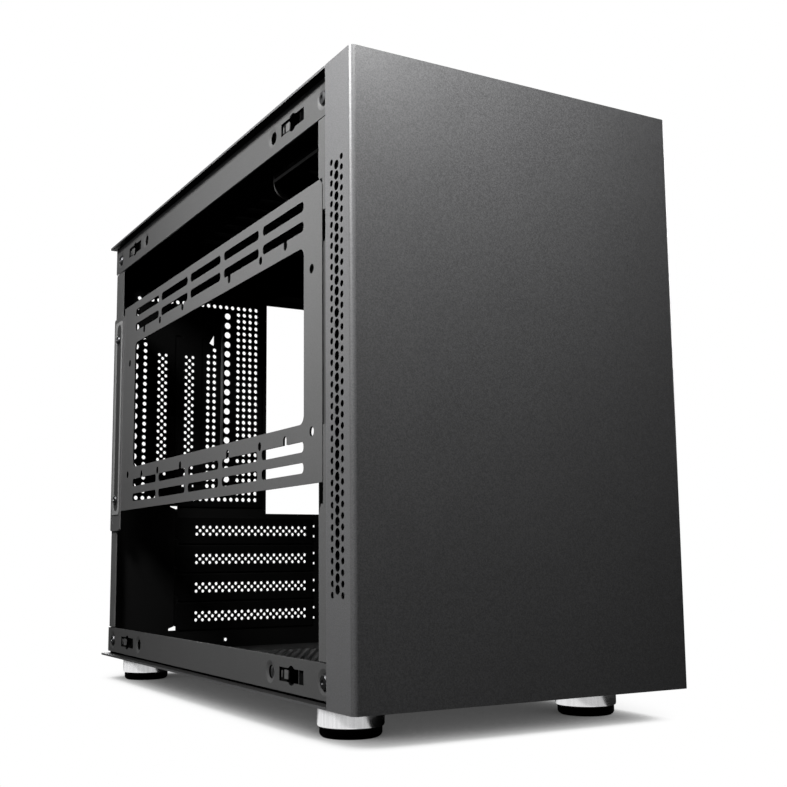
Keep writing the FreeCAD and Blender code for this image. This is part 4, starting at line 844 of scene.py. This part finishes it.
def upright_slot_plate():
    """Plate with the windows of the upright covers, a shelf for their tabs and a bright lip."""
    low, high = case_box("upright_slot_plate")
    covers = [case_box("vertical_slot_cover_%d" % (i + 1)) for i in range(2)]
    shelf = covers[0][1].z - SHEET - COVER_THICK
    middles = [cover_low.x + COVER_WIDE / 2 for cover_low, cover_high in covers]
    holes = []
    for a, rows in SLOT_PLATE_COLUMNS:
        holes += [circle(a, FINE_LOW + FINE_PITCH * i, FINE_ACROSS) for i in range(1, rows + 1)]
    for a in middles:
        holes.append(centred(a, shelf - COVER_WINDOW_DOWN, COVER_WINDOW, COVER_WINDOW_CORNER, 3))
        holes.append(centred(a, shelf - TAIL_WINDOW_DOWN, TAIL_WINDOW, TAIL_WINDOW_CORNER, 3))
    half = COVER_WIDE / 2 + SHELF_MARGIN
    near, far = middles[0] - half, middles[1] + TAB_SHIFT + half
    for end, side in ((near, -1.0), (far, 1.0)):
        holes.append([(end + side * out, shelf + rise) for out, rise in RELIEF])
    bm = bmesh.new()
    plate_y = covers[0][0].y + COVER_THICK
    back = plate_y + SHEET
    outline = rounded((low.x, low.z), (high.x, high.z), PLATE_CORNER, 4)
    add_flat(bm, SHEET, outline, holes, on_y(plate_y))
    add_block(bm, (near, back, shelf), (far, back + SHELF_REACH, shelf + SHEET))
    lip = bmesh.new()
    lip_low = (high.x - SHEET, plate_y - LIP_REACH, low.z + LIP_INSET)
    add_block(lip, lip_low, (high.x, plate_y, high.z - LIP_INSET))
    finish_piece("upright_plate_lip", lip, "frame_paint")
    # The plate takes the near-black painted shade; its lip keeps the frame paint.
    finish_piece("upright_plate_dotted", bm, "inner_paint", ["upright_slot_plate"])


# Feet

# The edges are lists of (inset from the wall, distance from the end).
FOOT_ACROSS = 30.5
FOOT_METAL = 10.6
FOOT_TOP_EDGE = ((0.6, 0.0), (0.15, 0.15), (0.0, 0.6))
FOOT_LOW_EDGE = ((0.0, 1.0), (0.25, 0.35), (0.9, 0.0))
PAD_ACROSS = 28.4
PAD_LOW_EDGE = ((0.0, 1.6), (0.5, 0.7), (1.5, 0.0), (4.0, 0.0), (4.6, 0.5), (PAD_ACROSS / 2, 0.5))
FOOT_HEIGHT = 15.2
FOOT_SIDES = 96
DOWN = (0, 0, -1)


def foot_middles():
    """Places of the four feet as (u, v)."""
    low, high = case_box("feet")
    half = FOOT_ACROSS / 2
    return [(u, v) for u in (low.x + half, high.x - half) for v in (low.y + half, high.y - half)]


def feet():
    """Four turned metal feet, and their rubber soles as one piece."""
    soles = bmesh.new()
    r, p = FOOT_ACROSS / 2, PAD_ACROSS / 2
    sole = FOOT_HEIGHT - FOOT_METAL
    foot_profile = [(0.0, 0.0)] + [(r - inset, down) for inset, down in FOOT_TOP_EDGE]
    foot_profile += [(r - inset, FOOT_METAL - rise) for inset, rise in FOOT_LOW_EDGE] + [(0.0, FOOT_METAL)]
    sole_profile = [(0.0, 0.0), (p, 0.0)] + [(p - inset, sole - rise) for inset, rise in PAD_LOW_EDGE]
    for number, (u, v) in enumerate(foot_middles()):
        foot = bmesh.new()
        add_turned(foot, (u, v, 0.0), DOWN, foot_profile, FOOT_SIDES)
        finish_piece("turned_foot_%d" % (number + 1), foot, "foot_metal", nodes=["feet"])
        add_turned(soles, (u, v, -FOOT_METAL), DOWN, sole_profile, FOOT_SIDES)
    finish_piece("rubber_soles", soles, "foot_rubber", nodes=["foot_pads"])


# Screws

# A screw is the width and height of its head and the length of its shank.
RAIL_SCREW = (HEAD_ACROSS - 0.6, 2.0, 3.0)
RAIL_SCREW_DEPTH = 1.3
SMALL_SCREW = (6.0, 1.6, 4.0)
SHANK_RADIUS = 1.5
POST_STAND_OFF = 0.1
TAB_SCREW_BACK = COVER_THICK + SHEET + SHELF_REACH / 2


def add_screw(bm, seat, axis, head_across, head_high, shank):
    """Pan head screw with a recess: seat is under the head, axis points along the shank."""
    r = head_across / 2
    shares = ((1.0, 0.0), (1.0, 0.45), (0.86, 0.85), (0.6, 1.0), (0.34, 1.0), (0.2, 0.35), (0.0, 0.3))
    head = [(r * out, -head_high * rise) for out, rise in shares]
    add_turned(bm, seat, axis, [(0.0, shank), (SHANK_RADIUS, shank), (SHANK_RADIUS, 0.0)] + head, 24)


def screws():
    """Screws of the rails, of the bracket's rear edge and of the slot covers."""
    bm = bmesh.new()
    for side, face in ((1, RAIL_FACE + RAIL_SCREW_DEPTH), (-1, WIDTH - RAIL_FACE - RAIL_SCREW_DEPTH)):
        for v in both_ends(SCREW_INSET):
            for w in (RAIL_LINE, HEIGHT - RAIL_LINE):
                add_screw(bm, (face, v, w), (side, 0, 0), *RAIL_SCREW)
    finish_piece("rail_screw_set", bm, "screw_steel", nodes=["rail_screws"])
    bm = bmesh.new()
    low, high = case_box("fan_bracket_screws")
    seat_u = case_box("rear_panel")[0].x - POST_STAND_OFF
    half = (high.y - low.y) / 2
    for w in (low.z + half, high.z - half):
        add_screw(bm, (seat_u, low.y + half, w), (1, 0, 0), *SMALL_SCREW)
    finish_piece("bracket_screw_set", bm, "screw_steel", nodes=["fan_bracket_screws"])
    bm = bmesh.new()
    for i in range(4):
        low, high = case_box("slot_cover_%d" % (i + 1))
        seat = (low.x, low.y + TAB_SCREW_BACK, low.z + COVER_WIDE / 2 + TAB_SHIFT)
        add_screw(bm, seat, (1, 0, 0), *SMALL_SCREW)
    for i in range(2):
        low, high = case_box("vertical_slot_cover_%d" % (i + 1))
        seat = (low.x + COVER_WIDE / 2 + TAB_SHIFT, low.y + TAB_SCREW_BACK, high.z)
        add_screw(bm, seat, DOWN, *SMALL_SCREW)
    finish_piece("slot_screw_set", bm, "screw_steel", nodes=["slot_screws"])


# Snap receivers that show through the sockets

# A tab is its shift from the socket's middle and its size.
TABS = ((6.9, (4.2, 4.2)), (11.7, (0.9, 3.2)))
TAB_THICK = 0.6
BACK_SHIFT = -10.2
BACK_SIZE = (6.6, 6.8)
BACK_THICK = 0.3
RECEIVER_CORNER = 0.4


def socket_cheeks():
    """Light tabs of the receivers that show through the rails' sockets, and a dark sheet of painted shade
    behind each.
    """
    tabs = bmesh.new()
    backs = bmesh.new()
    left_face, right_face = RAIL_FACE + SHEET, WIDTH - RAIL_FACE - SHEET
    for face, back_start in ((left_face, left_face), (right_face, right_face - BACK_THICK)):
        for v in both_ends(CLIP_INSET):
            for w in (RAIL_LINE, HEIGHT - RAIL_LINE):
                for shift, size in TABS:
                    tab = centred(v + shift, w, size, RECEIVER_CORNER, 2)
                    add_flat(tabs, TAB_THICK, tab, [], on_x(face - TAB_THICK / 2))
                back = centred(v + BACK_SHIFT, w, BACK_SIZE, RECEIVER_CORNER, 2)
                add_flat(backs, BACK_THICK, back, [], on_x(back_start))
    finish_piece("socket_shade_backs", backs, "inner_paint")
    finish_piece("socket_cheeks", tabs, "cheek_plastic")


# Supply bracket: shelf with a window, a bright lip and a rear flange with a round corner

SUPPLY_LIP = 4.0
SUPPLY_EDGE = 1.7
SUPPLY_PROUD = 0.2
SUPPLY_INSET = 12.0
SUPPLY_ROUND = 8.0


def supply_bracket():
    """Shelf with its lip and front flange in near-black painted shade, and the bright edges that catch the
    light.
    """
    low, high = case_box("supply_bracket")
    r = SUPPLY_ROUND
    inset = SUPPLY_INSET
    under = high.z - SHEET
    shelf = bmesh.new()
    outline = rounded((low.x, low.y), (high.x, high.y), SHEET_CORNER, 2)
    window = rounded((low.x + inset, low.y + inset), (high.x - inset, high.y - inset), r, 6)
    add_flat(shelf, SHEET, outline, [window], on_z(under))
    strip = high.z - SUPPLY_LIP
    add_block(shelf, (low.x, low.y, strip), (low.x + SHEET, high.y - SHEET, under))
    flange = rounded((low.x + r, low.z), (high.x - r, under), SHEET_CORNER, 2)
    add_flat(shelf, SHEET, flange, [], on_y(low.y))
    finish_piece("supply_shelf", shelf, "inner_paint", ["supply_bracket"])
    edges = bmesh.new()
    add_block(edges, (low.x - SUPPLY_PROUD, low.y, strip), (low.x + SHEET, high.y, strip + SUPPLY_EDGE))
    outline = [(low.x, high.z), *arc(low.x + r, low.z + r, r, 180, 90, 8),
               *arc(high.x - r, low.z + r, r, 270, 90, 8), (high.x, high.z)]
    add_flat(edges, SHEET, outline, [], on_y(high.y - SHEET))
    piece = finish_piece("supply_edges", edges, "frame_paint")
    # The faces of the edges that face along v get the near-black painted shade.
    shade_faces(piece, lambda face: abs(face.normal.y) > 0.5)


# Pressed channel of the rear corner post, drawn with painted highlight and painted shade

CHANNEL_WIDE = 9.6
CHANNEL_FRONT_RIM = 2.2
CHANNEL_REAR_RIM = 4.4
CHANNEL_ENDS = (95.0, 230.0)
CHANNEL_CORNER = 2.0
BED_FLAT = 0.2
RIM_THICK = 0.2
BED_THICK = 0.1


def post_channel():
    """Rims in painted highlight and a bed in painted shade, for the channel that the bracket's rear screws
    sit in.
    """
    face = case_box("rear_panel")[0].x
    low, high = case_box("fan_bracket_screws")
    middle = (low.y + high.y) / 2
    half = CHANNEL_WIDE / 2
    rim = CHANNEL_FRONT_RIM
    start, end = CHANNEL_ENDS
    outline_high = (middle + half + CHANNEL_REAR_RIM, end)
    outline = rounded((middle - half - rim, start), outline_high, CHANNEL_CORNER, 6)
    inside = rounded((middle - half, start + rim), (middle + half, end - rim), half - BED_FLAT, 6)
    rims = bmesh.new()
    add_flat(rims, RIM_THICK, outline, [inside], on_x(face - RIM_THICK))
    finish_piece("channel_rim", rims, "edge_paint")
    bed = bmesh.new()
    add_flat(bed, BED_THICK, inside, [], on_x(face - BED_THICK))
    finish_piece("channel_bed", bed, "shade_paint")


# Top sheet with rounded air slots, bottom sheet with fine holes over the same stretch

AIR_LONG = 86.0
AIR_START = 90.5
AIR_END = 319.5
AIR_PITCH = 20.0
AIR_SLOT = 9.0
AIR_CORNER = 4.4
MESH_PITCH = 6.0
MESH_HOLE = 4.3
SKIN_CORNER = 1.0
PORT_GAP = 0.3
PORT_CORNER = 0.6
SQUARE_PORTS = ("usb_port_left", "usb_port_right", "usb_port_small")
ROUND_PORTS = {"audio_port": 7.0, "power_button": 12.0, "reset_button": 5.0}


def air_slots():
    """Wide slots at an even pitch."""
    count = int(round((AIR_END - AIR_START - AIR_SLOT) / AIR_PITCH)) + 1
    middles = [AIR_START + AIR_SLOT / 2 + AIR_PITCH * i for i in range(count)]
    return [centred(WIDTH / 2, v, (AIR_LONG, AIR_SLOT), AIR_CORNER, 6) for v in middles]


def air_mesh():
    """Staggered round holes."""
    row = MESH_PITCH * math.sqrt(3) / 2
    rows = int((AIR_END - AIR_START) / row)
    across = int(AIR_LONG / MESH_PITCH)
    holes = []
    for j in range(rows):
        count = across - j % 2
        first = WIDTH / 2 - MESH_PITCH * count / 2
        v = AIR_START + row * (j + 0.5)
        holes += [circle(first + MESH_PITCH * i, v, MESH_HOLE, 12) for i in range(count + 1)]
    return holes


def air_sheet(node, holes, paint, inward, shaded_side_paint):
    """Outer sheet with its air holes: the side that faces inward (1 up, -1 down) takes the given paint of
    painted shade.
    """
    low, high = case_box(node)
    bm = bmesh.new()
    outline = rounded((low.x, low.y), (high.x, high.y), SKIN_CORNER, 4)
    add_flat(bm, SKIN, outline, holes, on_z(low.z))
    piece = finish_piece(node + "_pierced", bm, paint, [node])
    shade_faces(piece, lambda face: face.normal.z * inward > 0.5, shaded_side_paint)


def port_holes():
    """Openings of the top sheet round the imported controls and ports."""
    holes = []
    for node in SQUARE_PORTS:
        low, high = case_box(node)
        hole_low = (low.x - PORT_GAP, low.y - PORT_GAP)
        holes.append(rounded(hole_low, (high.x + PORT_GAP, high.y + PORT_GAP), PORT_CORNER, 3))
    for node, across in ROUND_PORTS.items():
        low, high = case_box(node)
        holes.append(circle((low.x + high.x) / 2, (low.y + high.y) / 2, across + 2 * PORT_GAP, 48))
    return holes


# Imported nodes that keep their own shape

KEPT = {
    # The frame and the rear panel take the shell paint with its painted shade inward.
    "shell_paint": ("front_frame", "rear_panel"),
    # The tray and the drive bracket are all in the near-black painted shade.
    "inner_paint": ("motherboard_tray", "drive_bracket"),
    "clip_plastic": ("front_panel_studs", "front_clips", "left_clips", "right_clips", "right_panel_studs",
                     "filter_rails", "port_box", "audio_port", "power_inlet"),
    "port_metal": ("usb_port_left", "usb_port_right", "usb_port_small"),
    "button_plastic": ("power_button", "reset_button"),
    "standoff_brass": ("standoffs",),
    "screw_steel": ("foot_screws",),
    "outer_paint": ("right_side_panel",),
    "filter_mesh": ("top_filter", "bottom_filter"),
}
BEVELS = {"right_side_panel": 0.9, "power_inlet": 0.4, "top_filter": 0.3, "power_button": 0.3}


def dress_kept_nodes():
    """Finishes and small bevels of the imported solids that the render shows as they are."""
    for material, names in KEPT.items():
        for name in names:
            thing = frame["nodes"][name]
            thing.data.materials.clear()
            thing.data.materials.append(MATERIALS[material])
    for name, width in BEVELS.items():
        bevel = frame["nodes"][name].modifiers.new("edge", "BEVEL")
        bevel.width = width * MM
        bevel.segments = 3
        bevel.limit_method = "ANGLE"


# Studio

# A lamp is its place, aim and size in case millimetres, its power, and whether the camera may see it.
# A foot card is its shift from the foot's middle, its turn in degrees, its size and its power.
LAMPS = {
    "side": ((-320.0, 20.0, 500.0), (0.0, 20.0, 170.0), (120.0, 120.0), 8.2, True),
    "edge": ((-250.0, 520.0, 330.0), (0.0, 60.0, 180.0), (140.0, 200.0), 0.15, True),
    "rake": ((5.0, -115.0, 450.0), (60.0, 0.0, 250.0), (110.0, 60.0), 2.9, True),
    "right_fill": ((620.0, 230.0, 420.0), (183.0, 230.0, 140.0), (420.0, 420.0), 6.0, False),
    "back_fill": ((120.0, 860.0, 380.0), (92.0, 378.0, 140.0), (160.0, 420.0), 7.0, False),
}
FOOT_CARDS = {
    "broad_card": ((-113.0, -40.0), 19.5, (240.0, 480.0), 0.22),
    "left_card": ((-125.0, 110.0), 0.0, (240.0, 260.0), 0.06),
}
CARD_LEVEL = -14.4
SKY = 0.01
WHITE = (1.0, 1.0, 1.0, 1.0)
FLOOR_SIZE = 14.0
FLOOR_BOUNCE = (0.02, 0.02, 0.02, 1.0)
# The floor's contact shadow is painted into its glow from ambient occlusion.
SHADOW_SAMPLES = 24
SHADOW_REACH = 0.16
SHADOW_STOPS = ((0.0, 0.02), (0.2, 0.11), (0.28, 0.30), (0.41, 0.50), (0.5, 0.86), (0.64, 1.0))
SHADOW_LEAN = (-0.12, -0.45, 0.88)


def area_light(name, place, size, power, seen):
    """Rectangular lamp placed in case millimetres."""
    data = bpy.data.lights.new(name, "AREA")
    data.shape = "RECTANGLE"
    data.size, data.size_y = (side * MM for side in size)
    data.energy = power
    light = bpy.data.objects.new(name, data)
    bpy.context.scene.collection.objects.link(light)
    light.location = CORNER + Vector(place) * MM
    light.visible_camera = seen
    return light


def lamps():
    """Lamps of the studio, each turned to its aim."""
    for name, (place, aim, size, power, seen) in LAMPS.items():
        light = area_light(name, place, size, power, seen)
        aim_point = CORNER + Vector(aim) * MM
        light.rotation_euler = (aim_point - light.location).to_track_quat("-Z", "Y").to_euler()


def split_by_ray(nodes, links, seen, unseen, output):
    """Camera rays meet one shader, and the light that bounces meets the other."""
    path = nodes.new("ShaderNodeLightPath")
    mix = nodes.new("ShaderNodeMixShader")
    links.new(path.outputs["Is Camera Ray"], mix.inputs["Fac"])
    links.new(unseen, mix.inputs[1])
    links.new(seen, mix.inputs[2])
    links.new(mix.outputs["Shader"], output.inputs["Surface"])


def white_world():
    """White to the eye, and almost dark as a light."""
    world = bpy.data.worlds.new("studio")
    bpy.context.scene.world = world
    world.use_nodes = True
    nodes, links = world.node_tree.nodes, world.node_tree.links
    dim = nodes["Background"]
    dim.inputs["Color"].default_value = WHITE
    dim.inputs["Strength"].default_value = SKY
    backdrop = nodes.new("ShaderNodeBackground")
    backdrop.inputs["Color"].default_value = WHITE
    seen, unseen = backdrop.outputs["Background"], dim.outputs["Background"]
    split_by_ray(nodes, links, seen, unseen, nodes["World Output"])


def white_floor():
    """White glowing floor with a painted soft contact shadow: ambient occlusion darkens its glow near the
    case.
    """
    bpy.ops.mesh.primitive_plane_add(size=FLOOR_SIZE, location=(0.0, 0.0, 0.0))
    floor = bpy.context.object
    floor.name = "floor"
    material, nodes, links, shader = new_material("floor")
    nodes.remove(shader)
    painted_shadow = nodes.new("ShaderNodeAmbientOcclusion")
    painted_shadow.inputs["Distance"].default_value = SHADOW_REACH
    painted_shadow.samples = SHADOW_SAMPLES
    lean = nodes.new("ShaderNodeCombineXYZ")
    for socket, value in zip(lean.inputs, SHADOW_LEAN):
        socket.default_value = value
    links.new(lean.outputs["Vector"], painted_shadow.inputs["Normal"])
    stops = [(place, grey(level)) for place, level in SHADOW_STOPS]
    ramp = ramp_node(nodes, links, painted_shadow.outputs["AO"], stops)
    glow = nodes.new("ShaderNodeEmission")
    links.new(ramp.outputs["Color"], glow.inputs["Color"])
    dull = nodes.new("ShaderNodeBsdfDiffuse")
    dull.inputs["Color"].default_value = FLOOR_BOUNCE
    split_by_ray(nodes, links, glow.outputs["Emission"], dull.outputs["BSDF"], nodes["Material Output"])
    floor.data.materials.append(material)


def foot_reflections():
    """Cards that lie on the floor beside each foot and show only in its polished wall."""
    for number, (u, v) in enumerate(foot_middles()):
        receivers = bpy.data.collections.new("polished_%d" % (number + 1))
        receivers.objects.link(bpy.data.objects["turned_foot_%d" % (number + 1)])
        for name, (shift, turn, size, power) in FOOT_CARDS.items():
            place = (u + shift[0], v + shift[1], CARD_LEVEL)
            card = area_light("%s_%d" % (name, number + 1), place, size, power, False)
            card.rotation_euler = (math.pi, 0.0, math.radians(turn))
            card.light_linking.receiver_collection = receivers


def studio():
    white_world()
    white_floor()
    lamps()
    foot_reflections()
    bpy.context.scene.view_settings.view_transform = "Standard"


def main():
    add_camera()
    front_panel()
    for side in ("left", "right"):
        rail(side + "_bottom_rail", side == "left", False)
        rail(side + "_top_rail", side == "left", True)
    fan_bracket()
    bracket_backing()
    slot_covers()
    rear_vent_plate()
    upright_slot_plate()
    feet()
    screws()
    socket_cheeks()
    supply_bracket()
    post_channel()
    air_sheet("top_panel", air_slots() + port_holes(), "roof_paint", -1, "inner_paint")
    air_sheet("bottom_panel", air_mesh(), "outer_paint", 1, "bay_paint")
    dress_kept_nodes()
    studio()


main()
